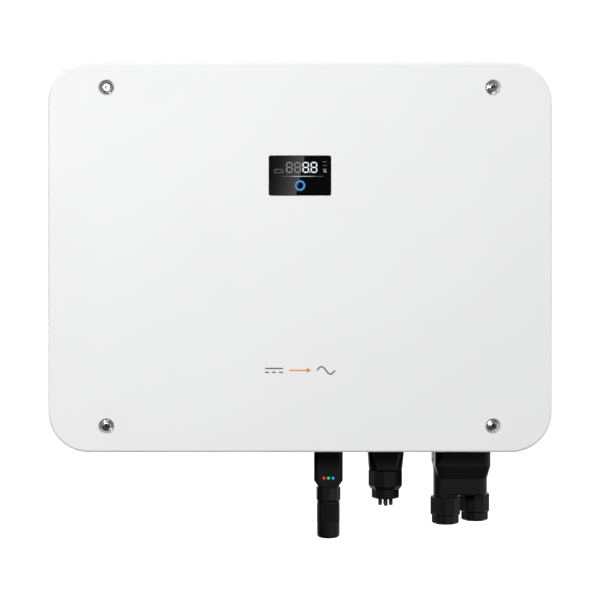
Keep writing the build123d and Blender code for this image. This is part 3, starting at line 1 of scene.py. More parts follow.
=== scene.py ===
"""Looks of a wall-hung string inverter: finishes, sign, windings, small electronics, light and camera."""

import json

import bmesh
import bpy
from math import cos, pi, radians, sin, tau
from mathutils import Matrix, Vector


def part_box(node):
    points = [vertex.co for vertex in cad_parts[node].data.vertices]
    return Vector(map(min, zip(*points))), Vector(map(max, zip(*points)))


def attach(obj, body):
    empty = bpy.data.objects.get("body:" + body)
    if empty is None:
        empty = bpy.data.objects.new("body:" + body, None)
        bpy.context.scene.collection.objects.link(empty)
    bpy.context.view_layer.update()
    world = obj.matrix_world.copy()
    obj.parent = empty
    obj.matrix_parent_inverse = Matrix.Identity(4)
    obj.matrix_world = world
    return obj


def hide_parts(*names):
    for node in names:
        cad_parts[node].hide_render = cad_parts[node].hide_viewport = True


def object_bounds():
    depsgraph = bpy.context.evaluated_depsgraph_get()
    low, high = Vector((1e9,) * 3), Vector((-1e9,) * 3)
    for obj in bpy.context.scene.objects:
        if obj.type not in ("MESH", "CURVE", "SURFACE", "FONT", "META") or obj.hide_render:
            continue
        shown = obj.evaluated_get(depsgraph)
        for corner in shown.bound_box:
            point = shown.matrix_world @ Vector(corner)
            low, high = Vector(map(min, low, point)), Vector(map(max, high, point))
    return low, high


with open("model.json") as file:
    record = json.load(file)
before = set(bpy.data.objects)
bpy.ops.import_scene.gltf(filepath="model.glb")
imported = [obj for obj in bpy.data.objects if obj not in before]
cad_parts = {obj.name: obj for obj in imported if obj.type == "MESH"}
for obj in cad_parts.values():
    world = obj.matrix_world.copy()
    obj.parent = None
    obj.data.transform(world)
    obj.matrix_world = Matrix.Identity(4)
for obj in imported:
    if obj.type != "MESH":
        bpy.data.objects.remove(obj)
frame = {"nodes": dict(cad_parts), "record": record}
cad_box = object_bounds()
nodes = frame["nodes"]
MM = 0.001

# ---------------------------------------------------------------------------------------------------
# Places taken from the frame
# ---------------------------------------------------------------------------------------------------


def middle(node):
    """The middle of a CAD node's box."""
    low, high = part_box(node)
    return (low + high) / 2


cover_low, cover_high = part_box("front_cover")
cover_middle = middle("front_cover")
cover_height = cover_high.z - cover_low.z
face_y = cover_low.y
lens_middle = middle("display_lens")

# ---------------------------------------------------------------------------------------------------
# Shader writing
# ---------------------------------------------------------------------------------------------------


def plug(tree, slot, value):
    """Puts a wrapped socket, a number or a colour into a node's input."""
    if isinstance(value, Wire):
        tree.links.new(value.socket, slot)
    elif slot.type == "RGBA" and not isinstance(value, (int, float)):
        slot.default_value = (*value, 1.0)[:4]
    else:
        slot.default_value = value


class Wire:
    """A node's output socket that can be written into sums."""

    def __init__(self, tree, socket):
        self.tree = tree
        self.socket = socket

    def sum_node(self, operation, *values, clamp=False):
        """A Math node over wires and numbers."""
        node = self.tree.nodes.new("ShaderNodeMath")
        node.operation = operation
        node.use_clamp = clamp
        for slot, value in zip(node.inputs, values):
            plug(self.tree, slot, value)
        return Wire(self.tree, node.outputs[0])

    def __add__(self, other):
        return self.sum_node("ADD", self, other)

    def __sub__(self, other):
        return self.sum_node("SUBTRACT", self, other)

    def __mul__(self, other):
        return self.sum_node("MULTIPLY", self, other)

    def __truediv__(self, other):
        return self.sum_node("DIVIDE", self, other)

    def __pow__(self, other):
        return self.sum_node("POWER", self, other)

    def __lt__(self, other):
        return self.sum_node("LESS_THAN", self, other)

    def __gt__(self, other):
        return self.sum_node("GREATER_THAN", self, other)

    def __rsub__(self, other):
        return self.sum_node("SUBTRACT", other, self)

    def __rtruediv__(self, other):
        return self.sum_node("DIVIDE", other, self)

    def __rpow__(self, other):
        return self.sum_node("POWER", other, self)

    __radd__ = __add__
    __rmul__ = __mul__

    def absolute(self):
        return self.sum_node("ABSOLUTE", self)

    def wrapped(self, period):
        return self.sum_node("FLOORED_MODULO", self, period)

    def clamped(self):
        return self.sum_node("ADD", self, 0.0, clamp=True)


class Nodes:
    """The nodes of a material or of the world."""

    def __init__(self, tree):
        self.tree = tree

    def node(self, kind, values=(), settings=(), out=0):
        """Adds a node: its type, its sockets' values or links, its settings, and which output is used."""
        node = self.tree.nodes.new(kind)
        for key, value in dict(settings).items():
            if key == "stops":
                self.stops(node.color_ramp, value)
            else:
                setattr(node, key, value)
        for key, value in dict(values).items():
            plug(self.tree, node.inputs[key], value)
        return Wire(self.tree, node.outputs[out])

    def stops(self, ramp, stops):
        """Fills a colour ramp with places and colours."""
        while len(ramp.elements) < len(stops):
            ramp.elements.new(0.5)
        for element, (place, colour) in zip(ramp.elements, stops):
            element.position = place
            element.color = (*colour, 1.0)

    def parts(self, vector):
        """The X, Y and Z of a vector."""
        first = self.node("ShaderNodeSeparateXYZ", {0: vector})
        return [Wire(self.tree, socket) for socket in first.socket.node.outputs]


class Finish(Nodes):
    """One material, built on its Principled shader."""

    def __init__(self, name):
        self.material = bpy.data.materials.new(name)
        self.material.use_nodes = True
        super().__init__(self.material.node_tree)
        self.shader = self.tree.nodes["Principled BSDF"]

    def place(self):
        """The surface point in the frame, in metres."""
        return self.node("ShaderNodeTexCoord", out=3)

    def axes(self, scale=(1, 1, 1)):
        """The surface point with each direction stretched by its own factor."""
        return self.node("ShaderNodeVectorMath", {0: self.place(), 1: scale}, {"operation": "MULTIPLY"})

    def split(self):
        """The surface point's X, Y and Z, in metres."""
        return self.parts(self.place())

    def noise(self, scale, detail=3.0, roughness=0.5, stretch=(1, 1, 1)):
        """Noise from 0 to 1 with about `scale` lumps in a metre."""
        values = {"Vector": self.axes(stretch), "Scale": scale, "Detail": detail, "Roughness": roughness}
        return self.node("ShaderNodeTexNoise", values)

    def cells(self, scale, stretch=(1, 1, 1), out="Distance", **settings):
        """Cell pattern: the distance from the middle of each cell, or each cell's own colour."""
        values = {"Vector": self.axes(stretch), "Scale": scale}
        return self.node("ShaderNodeTexVoronoi", values, settings, out)

    def mix(self, share, first, second):
        """A colour between first and second."""
        values = {"Factor": share, 6: first, 7: second}
        return self.node("ShaderNodeMix", values, {"data_type": "RGBA"}, 2)

    def ramp(self, value, *stops):
        """A colour picked from stops by value."""
        return self.node("ShaderNodeValToRGB", {0: value}, {"stops": stops})

    def step(self, value, low, high, first=0.0, second=1.0):
        """Goes smoothly from first to second as value goes from low to high."""
        values = {"Value": value, 1: low, 2: high, 3: first, 4: second}
        return self.node("ShaderNodeMapRange", values, {"interpolation_type": "SMOOTHSTEP"})

    def rounded(self, radius):
        """Surface directions with the edges rounded off by radius, in metres."""
        return self.node("ShaderNodeBevel", {"Radius": radius}, {"samples": 4})

    def bump(self, height, depth, over=None, strength=1.0):
        """Surface directions over a relief of that depth, in metres."""
        values = {"Height": height, "Distance": depth, "Strength": strength}
        if over is not None:
            values["Normal"] = over
        return self.node("ShaderNodeBump", values)

    def set(self, **values):
        """Sets the shader's sockets; an underscore in a name stands for a space."""
        for key, value in values.items():
            plug(self.tree, self.shader.inputs[key.replace("_", " ")], value)
        return self


# ---------------------------------------------------------------------------------------------------
# Finishes
# ---------------------------------------------------------------------------------------------------


def powder_coat(name, colour, worn, peel, grain, roughness):
    """Baked powder coat: a slow orange peel, a fine grain and a little handling dust."""
    f = Finish(name)
    slow = f.noise(peel, 2.0, 0.45)
    fine = f.noise(grain, 2.0, 0.6)
    dust = f.noise(9.0, 5.0, 0.62)
    haze = f.step(dust, 0.45, 0.75)
    tone = f.mix(haze * 0.35, colour, worn)
    tone = f.mix(fine * 0.06, tone, (0.5, 0.5, 0.5))
    relief = slow * 0.7 + fine * 0.3
    f.set(
        Base_Color=tone,
        Roughness=roughness + haze * 0.08 + (slow - 0.5) * 0.05,
        Normal=f.bump(relief, 0.00006, f.rounded(0.0006)),
        Specular_IOR_Level=0.4,
    )
    return f.material


def extruded_aluminium(name):
    """Raw extrusion: fine die lines along the fins, with patches of dull oxide."""
    f = Finish(name)
    lines = f.noise(420.0, 4.0, 0.6, (1, 1, 0.02))
    patches = f.noise(22.0, 4.0, 0.6)
    dull = f.step(patches, 0.42, 0.7)
    tone = f.mix(dull * 0.6, (0.80, 0.81, 0.82), (0.56, 0.57, 0.58))
    tone = f.mix(lines * 0.25, tone, (0.45, 0.46, 0.47))
    f.set(
        Base_Color=tone,
        Metallic=1.0,
        Roughness=0.3 + dull * 0.18 + lines * 0.08,
        Normal=f.bump(lines, 0.00004, f.rounded(0.0003)),
    )
    return f.material


def galvanised_sheet(name):
    """Hot-dipped sheet: crystal spangle in flat shades, with a few scuffs."""
    f = Finish(name)
    spangle = f.cells(130.0, out="Color")
    shade = f.node("ShaderNodeRGBToBW", {0: spangle})
    streaks = f.noise(60.0, 5.0, 0.7, (0.15, 1, 1))
    scuff = f.step(streaks, 0.58, 0.72)
    tone = f.ramp(shade, (0.2, (0.44, 0.46, 0.48)), (0.55, (0.60, 0.62, 0.63)), (0.8, (0.74, 0.75, 0.76)))
    tone = f.mix(scuff * 0.4, tone, (0.34, 0.35, 0.36))
    f.set(
        Base_Color=tone,
        Metallic=1.0,
        Roughness=0.3 + shade * 0.2 + scuff * 0.12,
        Normal=f.bump(shade + streaks * 0.5, 0.00003, f.rounded(0.0004)),
    )
    return f.material


def turned_steel(name, sunk_from=None):
    """Bright stainless steel with turning marks and dull spots, with painted shade darkening it behind
    sunk_from.
    """
    f = Finish(name)
    marks = f.noise(2600.0, 3.0, 0.7, (1, 0.12, 1))
    spots = f.step(f.noise(260.0, 3.0, 0.6), 0.52, 0.72)
    tone = f.mix(marks * 0.35, (0.83, 0.82, 0.80), (0.56, 0.56, 0.56))
    tone = f.mix(spots * 0.3, tone, (0.42, 0.41, 0.40))
    if sunk_from is not None:
        # painted shade: darker from sunk_from back, in the hex socket and round the head's side
        _, y, _ = f.split()
        tone = f.mix(f.step(y, sunk_from, sunk_from + 0.001), tone, (0.06, 0.06, 0.062))
    f.set(
        Base_Color=tone,
        Metallic=1.0,
        Roughness=0.13 + marks * 0.08 + spots * 0.08,
        Normal=f.bump(marks, 0.00001, f.rounded(0.0003)),
    )
    return f.material


def moulded_nylon(name, colour, sheen, grain, roughness, edge=0.0005):
    """Glass-filled nylon: spark-eroded grain, faint flow marks and slightly paler rubbed patches."""
    f = Finish(name)
    spark = f.noise(grain, 3.0, 0.7)
    flow = f.noise(48.0, 4.0, 0.55, (1, 1, 0.3))
    pale = f.step(flow, 0.5, 0.78)
    tone = f.mix(pale * 0.45, colour, sheen)
    tone = f.mix(spark * 0.35, tone, sheen)
    f.set(
        Base_Color=tone,
        Roughness=roughness + (spark - 0.5) * 0.16 + pale * 0.05,
        Normal=f.bump(spark, 0.00005, f.rounded(edge)),
        Specular_IOR_Level=0.22,
    )
    return f.material


def black_window(name):
    """Polished black window with a trace of wiping haze."""
    f = Finish(name)
    wipe = f.noise(55.0, 5.0, 0.62, (1, 1, 0.35))
    haze = f.step(wipe, 0.5, 0.85)
    f.set(
        Base_Color=f.mix(haze * 0.4, (0.0006, 0.0007, 0.0008), (0.003, 0.003, 0.0033)),
        Roughness=0.004 + haze * 0.012,
        Normal=f.rounded(0.0003),
        IOR=1.52,
    )
    return f.material


def rubber(name, colour, bloom):
    """Moulded rubber with a dusty bloom."""
    f = Finish(name)
    powder = f.noise(700.0, 4.0, 0.7)
    patch = f.step(f.noise(40.0, 3.0, 0.6), 0.4, 0.7)
    f.set(
        Base_Color=f.mix(powder * 0.4 + patch * 0.2, colour, bloom),
        Roughness=0.72 + powder * 0.16,
        Normal=f.bump(powder, 0.00004, f.rounded(0.0004)),
    )
    return f.material


def lit_figures(name):
    """Lit segments: the two figures on the left glow dimmer than the two on the right, a painted shade
    standing in for the sheen that veils that half of the window.
    """
    f = Finish(name)
    x, _, _ = f.split()
    cell = f.cells(5200.0)
    low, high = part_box("display_digits")
    width = high.x - low.x
    # painted shade: the figures' glow falls off to the left, where the window's sheen lies over them
    share = f.step(x, low.x + 0.45 * width, low.x + 0.56 * width)
    glow = f.mix(share, (0.15, 0.155, 0.165), (0.93, 0.96, 1.0))
    glow = f.mix(cell * 0.25, glow, (0.05, 0.05, 0.06))
    f.set(Base_Color=(0.05, 0.05, 0.055), Roughness=0.3, Emission_Color=glow, Emission_Strength=1.0)
    return f.material


def faint_marks(name):
    """Unlit icons shown by a faint painted glow, a rule that is brightest in its middle, and a lit unit
    stroke.
    """
    f = Finish(name)
    x, _, z = f.split()
    rule_middle = lens_middle.x + 2.5 * MM
    stroke_left = lens_middle.x + 28.5 * MM
    stroke_top = lens_middle.z + 9.5 * MM
    on_rule = z < lens_middle.z
    along = f.step((x - rule_middle).absolute(), 4 * MM, 20 * MM, 1.0, 0.0)
    lit = f.step(x, stroke_left, stroke_left + 0.7 * MM) * (z < stroke_top)
    speck = f.noise(3000.0)
    # painted light: the 0.008 floor and its specks are a faint glow that lets the unlit icons show
    level = on_rule * along * 0.5 + lit * (1.0 - on_rule) * 0.5 + 0.008 + speck * 0.008
    shade = f.mix(level.clamped(), (0.0, 0.0, 0.0), (0.95, 0.97, 1.0))
    f.set(Base_Color=(0.03, 0.03, 0.033), Roughness=0.3, Emission_Color=shade, Emission_Strength=1.0)
    return f.material


def lit_ring(name):
    """Blue status light, fading to grey on the left."""
    f = Finish(name)
    x, _, _ = f.split()
    low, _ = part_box("status_ring")
    share = f.step(x, low.x, middle("status_ring").x)
    speck = f.noise(2500.0)
    glow = f.mix(share, (0.07, 0.10, 0.12), (0.0, 0.20, 0.58))
    glow = f.mix(speck * 0.12, glow, (0.02, 0.3, 0.7))
    f.set(Base_Color=(0.0, 0.08, 0.16), Roughness=0.3, Emission_Color=glow, Emission_Strength=1.0)
    return f.material


def indicator_lights(name):
    """Three small lights, red, green and blue from left to right, each brightest in its middle."""
    f = Finish(name)
    x, _, z = f.split()
    low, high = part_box("dongle_lights")
    radius = (high.z - low.z) / 2
    pitch = (high.x - low.x - 2 * radius) / 2
    second = x > low.x + radius + pitch / 2
    third = x > low.x + radius + 1.5 * pitch
    colour = f.mix(second, (1.0, 0.012, 0.012), (0.0, 0.82, 0.05))
    colour = f.mix(third, colour, (0.0, 0.38, 1.0))
    across = (x - (low.x + radius) + pitch / 2).wrapped(pitch) - pitch / 2
    up = z - (low.z + radius)
    out = (across * across + up * up) ** 0.5
    rim = f.mix(f.step(out, 0.6 * radius, 1.15 * radius), colour, (0.02, 0.02, 0.02))
    f.set(Base_Color=(0.03, 0.03, 0.03), Roughness=0.25, Emission_Color=rim, Emission_Strength=1.0)
    return f.material


def circuit_board(name):
    """Green solder mask over copper tracks, with tinned pads and drilled holes."""
    f = Finish(name)
    x, _, z = f.split()
    cell = f.cells(170.0, out="Color", distance="CHEBYCHEV")
    pick = f.node("ShaderNodeSeparateColor", {0: cell})
    track_pitch = 0.0018
    pad_pitch_x, pad_pitch_z = 0.0127, 0.0102
    rows = (z.wrapped(track_pitch) / track_pitch - 0.5).absolute()
    columns = (x.wrapped(track_pitch) / track_pitch - 0.5).absolute()
    level_tracks = (rows < 0.2) * (pick < 0.42)
    upright_tracks = (columns < 0.2) * (pick > 0.58)
    tracks = (level_tracks + upright_tracks).clamped()
    grid_x = x.wrapped(pad_pitch_x) - pad_pitch_x / 2
    grid_z = z.wrapped(pad_pitch_z) - pad_pitch_z / 2
    reach = (grid_x * grid_x + grid_z * grid_z) ** 0.5
    pads = (reach < 0.0009) * (pick > 0.3)
    holes = (reach < 0.0004) * (pick > 0.3)
    mask = f.mix(f.noise(35.0) * 0.4, (0.008, 0.075, 0.03), (0.012, 0.10, 0.045))
    tone = f.mix(tracks * 0.75, mask, (0.03, 0.19, 0.07))
    tone = f.mix(pads, tone, (0.75, 0.74, 0.70))
    tone = f.mix(holes, tone, (0.01, 0.01, 0.01))
    f.set(
        Base_Color=tone,
        Metallic=pads * (1.0 - holes) * 0.9,
        Roughness=0.34 - tracks * 0.06 + pads * 0.05,
        Normal=f.bump(tracks + pads * 1.5, 0.00004),
    )
    return f.material


def sleeved(name, colour, band):
    """Shrink sleeve with a pale stripe of polarity down one side and faint wrinkles."""
    f = Finish(name)
    x, _, _ = f.split()
    wrinkle = f.noise(160.0, 3.0, 0.5, (1, 0.2, 1))
    stripe = (x.wrapped(0.04) / 0.04 - 0.08).absolute() < 0.05
    f.set(
        Base_Color=f.mix(stripe * 0.85, f.mix(wrinkle * 0.4, colour, band), (0.55, 0.56, 0.58)),
        Roughness=0.22 + wrinkle * 0.12,
        Normal=f.bump(wrinkle, 0.00008, f.rounded(0.0005)),
    )
    return f.material


def enamelled_copper(name):
    """Enamelled wire: warm varnish over copper, darker where the varnish has run."""
    f = Finish(name)
    run = f.noise(120.0, 4.0, 0.6)
    f.set(
        Base_Color=f.mix(run, (0.62, 0.23, 0.07), (0.36, 0.11, 0.035)),
        Metallic=0.85,
        Roughness=0.24 + run * 0.14,
        Coat_Weight=0.4 + run * 0.2,
        Normal=f.bump(run, 0.00005),
    )
    return f.material


def cast_can(name):
    """Die-cast aluminium can, slightly pitted."""
    f = Finish(name)
    pits = f.noise(600.0, 3.0, 0.6)
    cloud = f.noise(30.0, 3.0, 0.5)
    f.set(
        Base_Color=f.mix(cloud * 0.6, (0.66, 0.67, 0.68), (0.48, 0.49, 0.50)),
        Metallic=1.0,
        Roughness=0.38 + pits * 0.14,
        Normal=f.bump(pits, 0.00008, f.rounded(0.0006)),
    )
    return f.material


def plated_brass(name):
    """Turned brass pillars with a little tarnish."""
    f = Finish(name)
    tarnish = f.noise(90.0, 4.0, 0.6)
    f.set(
        Base_Color=f.mix(tarnish, (0.83, 0.66, 0.30), (0.52, 0.38, 0.16)),
        Metallic=1.0,
        Roughness=0.2 + tarnish * 0.2,
        Normal=f.bump(f.noise(1500.0, 2.0, 0.5, (1, 0.1, 1)), 0.00002, f.rounded(0.0003)),
    )
    return f.material


def printed_ink(name, colour, thin):
    """Screen-printed ink, a little uneven."""
    f = Finish(name)
    mesh_mark = f.noise(1800.0, 3.0, 0.6)
    f.set(
        Base_Color=f.mix(mesh_mark * 0.5, colour, thin),
        Roughness=0.45 + mesh_mark * 0.15,
        Normal=f.bump(mesh_mark, 0.00002),
    )
    return f.material


def studio_floor(name):
    """Pale, softly mottled floor that stays as light as the air behind it."""
    f = Finish(name)
    mottle = f.noise(1.5, 3.0, 0.5)
    f.set(
        Base_Color=f.mix(mottle, (0.90, 0.90, 0.90), (0.93, 0.93, 0.93)),
        Roughness=0.85 + mottle * 0.1,
        Emission_Color=f.mix(mottle, (0.97, 0.97, 0.97), (1.0, 1.0, 1.0)),
        Emission_Strength=0.95,
    )
    return f.material


BLACK = (0.0042, 0.0044, 0.0048)
BLACK_SHEEN = (0.0115, 0.0118, 0.0125)
FAN_BLACK, FAN_SHEEN = (0.012, 0.012, 0.013), (0.028, 0.028, 0.03)
EPOXY, EPOXY_SHEEN = (0.05, 0.05, 0.054), (0.085, 0.085, 0.09)
DARK_RED, RED_SHEEN = (0.16, 0.012, 0.012), (0.24, 0.03, 0.028)
WHITE, WHITE_WORN = (0.885, 0.888, 0.892), (0.865, 0.866, 0.868)
GREY, GREY_WORN = (0.20, 0.207, 0.215), (0.25, 0.256, 0.262)
finishes = {
    "cover_paint": powder_coat("white_powder_coat", WHITE, WHITE_WORN, 420.0, 2600.0, 0.54),
    "case_paint": powder_coat("grey_powder_coat", GREY, GREY_WORN, 700.0, 3200.0, 0.5),
    "heatsink_metal": extruded_aluminium("extruded_aluminium"),
    "galvanised_sheet": galvanised_sheet("galvanised_sheet"),
    "stainless": turned_steel("turned_steel"),
    "black_shell": moulded_nylon("black_nylon_shell", BLACK, BLACK_SHEEN, 2600.0, 0.34),
    "black_grip": moulded_nylon("black_nylon_grip", BLACK, BLACK_SHEEN, 3200.0, 0.3),
    "knob_plastic": moulded_nylon("black_nylon_knob", BLACK, (0.03, 0.03, 0.032), 2200.0, 0.5),
    "fan_plastic": moulded_nylon("black_fan_plastic", FAN_BLACK, FAN_SHEEN, 1800.0, 0.42),
    "module_case": moulded_nylon("grey_moulded_epoxy", EPOXY, EPOXY_SHEEN, 1500.0, 0.55),
    "red_mark_shell": moulded_nylon("dark_red_nylon", DARK_RED, RED_SHEEN, 2400.0, 0.46),
    "relay_case": moulded_nylon("blue_relay_case", (0.015, 0.07, 0.24), (0.03, 0.11, 0.32), 900.0, 0.28),
    "lens_black": black_window("black_window"),
    "lit_white": lit_figures("lit_figures"),
    "dim_marks": faint_marks("faint_marks"),
    "lit_blue": lit_ring("lit_ring"),
    "light_pipes": indicator_lights("indicator_lights"),
    "gasket_rubber": rubber("gasket_rubber", (0.016, 0.016, 0.017), (0.05, 0.05, 0.052)),
    "cap_rubber": rubber("cap_rubber", (0.02, 0.02, 0.021), (0.045, 0.045, 0.046)),
    "board_laminate": circuit_board("circuit_board"),
    "capacitor_sleeve": sleeved("capacitor_sleeve", (0.012, 0.022, 0.075), (0.02, 0.035, 0.11)),
    "coil_copper": enamelled_copper("enamelled_copper"),
    "potted_case": cast_can("cast_aluminium_can"),
    "pillar_brass": plated_brass("plated_brass"),
}
slot_of = {part["node"]: part["material_slot"] for part in frame["record"]["subparts"]}
# The cover screws get painted shade in their sockets and round their heads
steel_with_painted_shade = turned_steel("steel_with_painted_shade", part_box("cover_screws")[0].y + 1 * MM)
for node_name, cad in nodes.items():
    cad.data.materials.clear()
    cad.data.materials.append(steel_with_painted_shade if node_name == "cover_screws" else finishes[slot_of[node_name]])

# ---------------------------------------------------------------------------------------------------
# Pieces made here
# ---------------------------------------------------------------------------------------------------


def piece(name, mesh_maker, finish, body, smooth=False):
    """A mesh object that rides on a body and takes the finish it is given."""
    mesh = bpy.data.meshes.new(name)
    work = bmesh.new()
    mesh_maker(work)
    bmesh.ops.recalc_face_normals(work, faces=work.faces)
    work.to_mesh(mesh)
    work.free()
    obj = bpy.data.objects.new(name, mesh)
    bpy.context.scene.collection.objects.link(obj)
    mesh.materials.append(finish)
    if smooth:
        mesh.shade_smooth()
    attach(obj, body)
    return obj


def add_slab(work, outline, low_y, high_y):
    """A closed flat piece: an outline in X and Z, from low_y to high_y."""
    front = [work.verts.new((x, low_y, z)) for x, z in outline]
    back = [work.verts.new((x, high_y, z)) for x, z in outline]
    work.faces.new(front)
    work.faces.new(list(reversed(back)))
    for i in range(len(outline)):
        j = (i + 1) % len(outline)
        work.faces.new((front[i], back[i], back[j], front[j]))


# The printed sign: direct current, an arrow, alternating current
sign_x = cover_middle.x
sign_z = cover_middle.z - 0.29 * cover_height
sign_height = 11 * MM
stroke = 1.8 * MM
print_thickness = 0.06 * MM


def add_print(work, outline):
    """A printed patch on the cover's front face."""
    add_slab(work, outline, face_y - print_thickness, face_y)


def add_line(work, left, right, z):
    """A level printed line, one stroke high."""
    half = stroke / 2
    add_print(work, [(left, z - half), (right, z - half), (right, z + half), (left, z + half)])


def current_signs(work):
    """A line over three dashes on the left, and one wave on the right."""
    left = sign_x - 43 * MM
    sign_length = 22 * MM
    apart = 2.4 * MM
    add_line(work, left, left + sign_length, sign_z + apart)
    for dash in range(3):
        start = left + dash * 8.5 * MM
        add_line(work, start, start + 5 * MM, sign_z - apart)
    wave_left = sign_x + 21 * MM
    wave_length = sign_length
    height = sign_height / 2 - stroke / 2
    count = 40
    upper, lower = [], []
    for i in range(count + 1):
        t = i / count
        x = wave_left + wave_length * t
        z = sign_z + height * sin(tau * t)
        slope = height * tau / wave_length * cos(tau * t)
        length = (1 + slope * slope) ** 0.5
        upper.append((x - slope / length * stroke / 2, z + stroke / 2 / length))
        lower.append((x + slope / length * stroke / 2, z - stroke / 2 / length))
    for i in range(count):
        add_print(work, [lower[i], lower[i + 1], upper[i + 1], upper[i]])
    bmesh.ops.remove_doubles(work, verts=work.verts, dist=1e-7)


def arrow_sign(work):
    """An arrow to the right, between the two currents."""
    head_x = sign_x + 8.5 * MM
    head_half = 3.4 * MM
    add_line(work, sign_x - 13 * MM, sign_x + 9 * MM, sign_z)
    add_print(work, [(head_x, sign_z - head_half), (sign_x + 14 * MM, sign_z), (head_x, sign_z + head_half)])


grey_ink = printed_ink("grey_ink", (0.12, 0.12, 0.125), (0.18, 0.18, 0.185))
orange_ink = printed_ink("orange_ink", (0.85, 0.25, 0.02), (0.9, 0.36, 0.08))
piece("sign_currents", current_signs, grey_ink, "cover")
piece("sign_arrow", arrow_sign, orange_ink, "cover")

# Windings: enamelled wire wound round ring cores


def add_tube(work, points, radius, sides=6):
    """A closed tube through a loop of points."""
    rings = []
    count = len(points)
    for i, point in enumerate(points):
        along = (points[(i + 1) % count] - points[i - 1]).normalized()
        side = along.cross(turn_axis_of(points)).normalized()
        up = along.cross(side).normalized()
        rings.append(
            [
                work.verts.new(point + (side * cos(tau * k / sides) + up * sin(tau * k / sides)) * radius)
                for k in range(sides)
            ]
        )
    for i in range(count):
        near, far = rings[i], rings[(i + 1) % count]
        for k in range(sides):
            work.faces.new((near[k], near[(k + 1) % sides], far[(k + 1) % sides], far[k]))


def turn_axis_of(points):
    """The direction square to a flat loop of points."""
    third = len(points) // 3
    return (points[third] - points[0]).cross(points[2 * third] - points[0]).normalized()


def turn_points(centre, angle, inner, outer, front, back, corner):
    """One turn: a loop with round corners in the plane that holds the ring's axis."""
    out = Vector((cos(angle), 0, sin(angle)))
    points = []
    for r, y, start in (
        (outer - corner, back - corner, 0.0),
        (inner + corner, back - corner, 0.25),
        (inner + corner, front + corner, 0.5),
        (outer - corner, front + corner, 0.75),
    ):
        for k in range(4):
            a = tau * (start + k / 12)
            points.append(centre + out * (r + corner * cos(a)) + Vector((0, y + corner * sin(a), 0)))
    return points


def add_winding(work, x, z, hole, radius, front, back, wire, turns, gap):
    """Turns of wire all round a ring core, leaving a gap at the bottom where the ends come out."""
    centre = Vector((x, 0, z))
    for i in range(turns):
        angle = -pi / 2 + gap / 2 + (tau - gap) * i / (turns - 1)
        lean = 0.5 * wire * (i % 2)
        inner, outer = hole + wire + lean, radius - wire - lean
        loop = turn_points(centre, angle, inner, outer, front + wire + lean, back - wire, 3.5 * MM)
        add_tube(work, loop, wire)


def add_ring_core(work, x, z, hole, radius, front, back, sides=40):
    """A ring core with rounded edges."""
    round_off = 2.5 * MM
    profile = []
    for r, y, start in (
        (radius - round_off, back - round_off, 0.0),
        (hole + round_off, back - round_off, 0.25),
        (hole + round_off, front + round_off, 0.5),
        (radius - round_off, front + round_off, 0.75),
    ):
        for k in range(4):
            a = tau * (start + k / 12)
            profile.append((r + round_off * cos(a), y + round_off * sin(a)))
    rings = []
    for i in range(sides):
        a = tau * i / sides
        rings.append([work.verts.new((x + r * cos(a), y, z + r * sin(a))) for r, y in profile])
    for i in range(sides):
        near, far = rings[i], rings[(i + 1) % sides]
        for k in range(len(profile)):
            j = (k + 1) % len(profile)
            work.faces.new((near[k], near[j], far[j], far[k]))


def wound_rings(node_name, radius, hole, below, wire, turns, gap):
    """Wound rings in place of a node's plain ones: two side by side, and a third underneath if below."""
    low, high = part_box(node_name)
    places = [(low.x + radius, high.z - radius), (high.x - radius, high.z - radius)]
    if below:
        places.append(((low.x + high.x) / 2, low.z + radius))

    def windings(work):
        for x, z in places:
            add_winding(work, x, z, hole, radius, low.y, high.y, wire, turns, gap)

    def cores(work):
        margin = 2.2 * wire
        for x, z in places:
            add_ring_core(work, x, z, hole + margin, radius - margin, low.y + margin, high.y - margin)

    wound = piece(node_name + "_wire", windings, finishes["coil_copper"], "unit", smooth=True)
    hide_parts(node_name)
    piece(node_name + "_core", cores, finishes["module_case"], "unit", smooth=True)


wound_rings("filter_inductors", 30 * MM, 12 * MM, True, 1.35 * MM, 30, 1.0)
wound_rings("interference_chokes", 25 * MM, 10 * MM, False, 1.1 * MM, 22, 1.5)

# Small electronics on the two large boards


def skin_rows(work, rows):
    """Joins rows of points into a closed skin with flat ends."""
    count = len(rows[0])
    for near, far in zip(rows, rows[1:]):
        for k in range(count):
            work.faces.new((near[k], near[(k + 1) % count], far[(k + 1) % count], far[k]))
    work.faces.new(rows[-1])
    work.faces.new(list(reversed(rows[0])))


def add_block(work, x, y, z, wide, tall, proud, bevel):
    """A block standing on a board at y towards the front, with its front edges bevelled."""
    half_x, half_z = wide / 2, tall / 2
    base = [(-half_x, -half_z), (half_x, -half_z), (half_x, half_z), (-half_x, half_z)]
    rows = []
    for depth, shrink in ((0.0, 0.0), (proud - bevel, 0.0), (proud, bevel)):
        share_x, share_z = 1 - shrink / half_x, 1 - shrink / half_z
        rows.append([work.verts.new((x + bx * share_x, y - depth, z + bz * share_z)) for bx, bz in base])
    skin_rows(work, rows)


def add_can(work, x, y, z, radius, proud, sides=20):
    """A small round can with a rolled front edge."""
    rows = []
    for depth, share in ((0.0, 1.0), (0.08, 0.94), (0.16, 1.0), (0.92, 1.0), (1.0, 0.86)):
        r = radius * share
        ring = [(x + r * cos(tau * k / sides), z + r * sin(tau * k / sides)) for k in range(sides)]
        rows.append([work.verts.new((px, y - depth * proud, pz)) for px, pz in ring])
    skin_rows(work, rows)


power_board_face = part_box("power_board")[0].y
control_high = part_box("control_board")[1]
board_thickness = 1.6 * MM
control_face = control_high.y - board_thickness
control_x, control_z = middle("control_board").x, middle("control_board").z


def chips(work):
    """Rows of small chips and resistors on the control board."""
    for row in range(5):
        for column in range(9):
            x = control_x + (-88 + 22 * column) * MM
            z = control_z + (20 + 11 * row) * MM
            wide = (9, 4, 6)[(row * 2 + column) % 3] * MM
            tall = (5, 3, 6)[(row + column) % 3] * MM
            add_block(work, x, control_face, z, wide, tall, 1.6 * MM, 0.3 * MM)


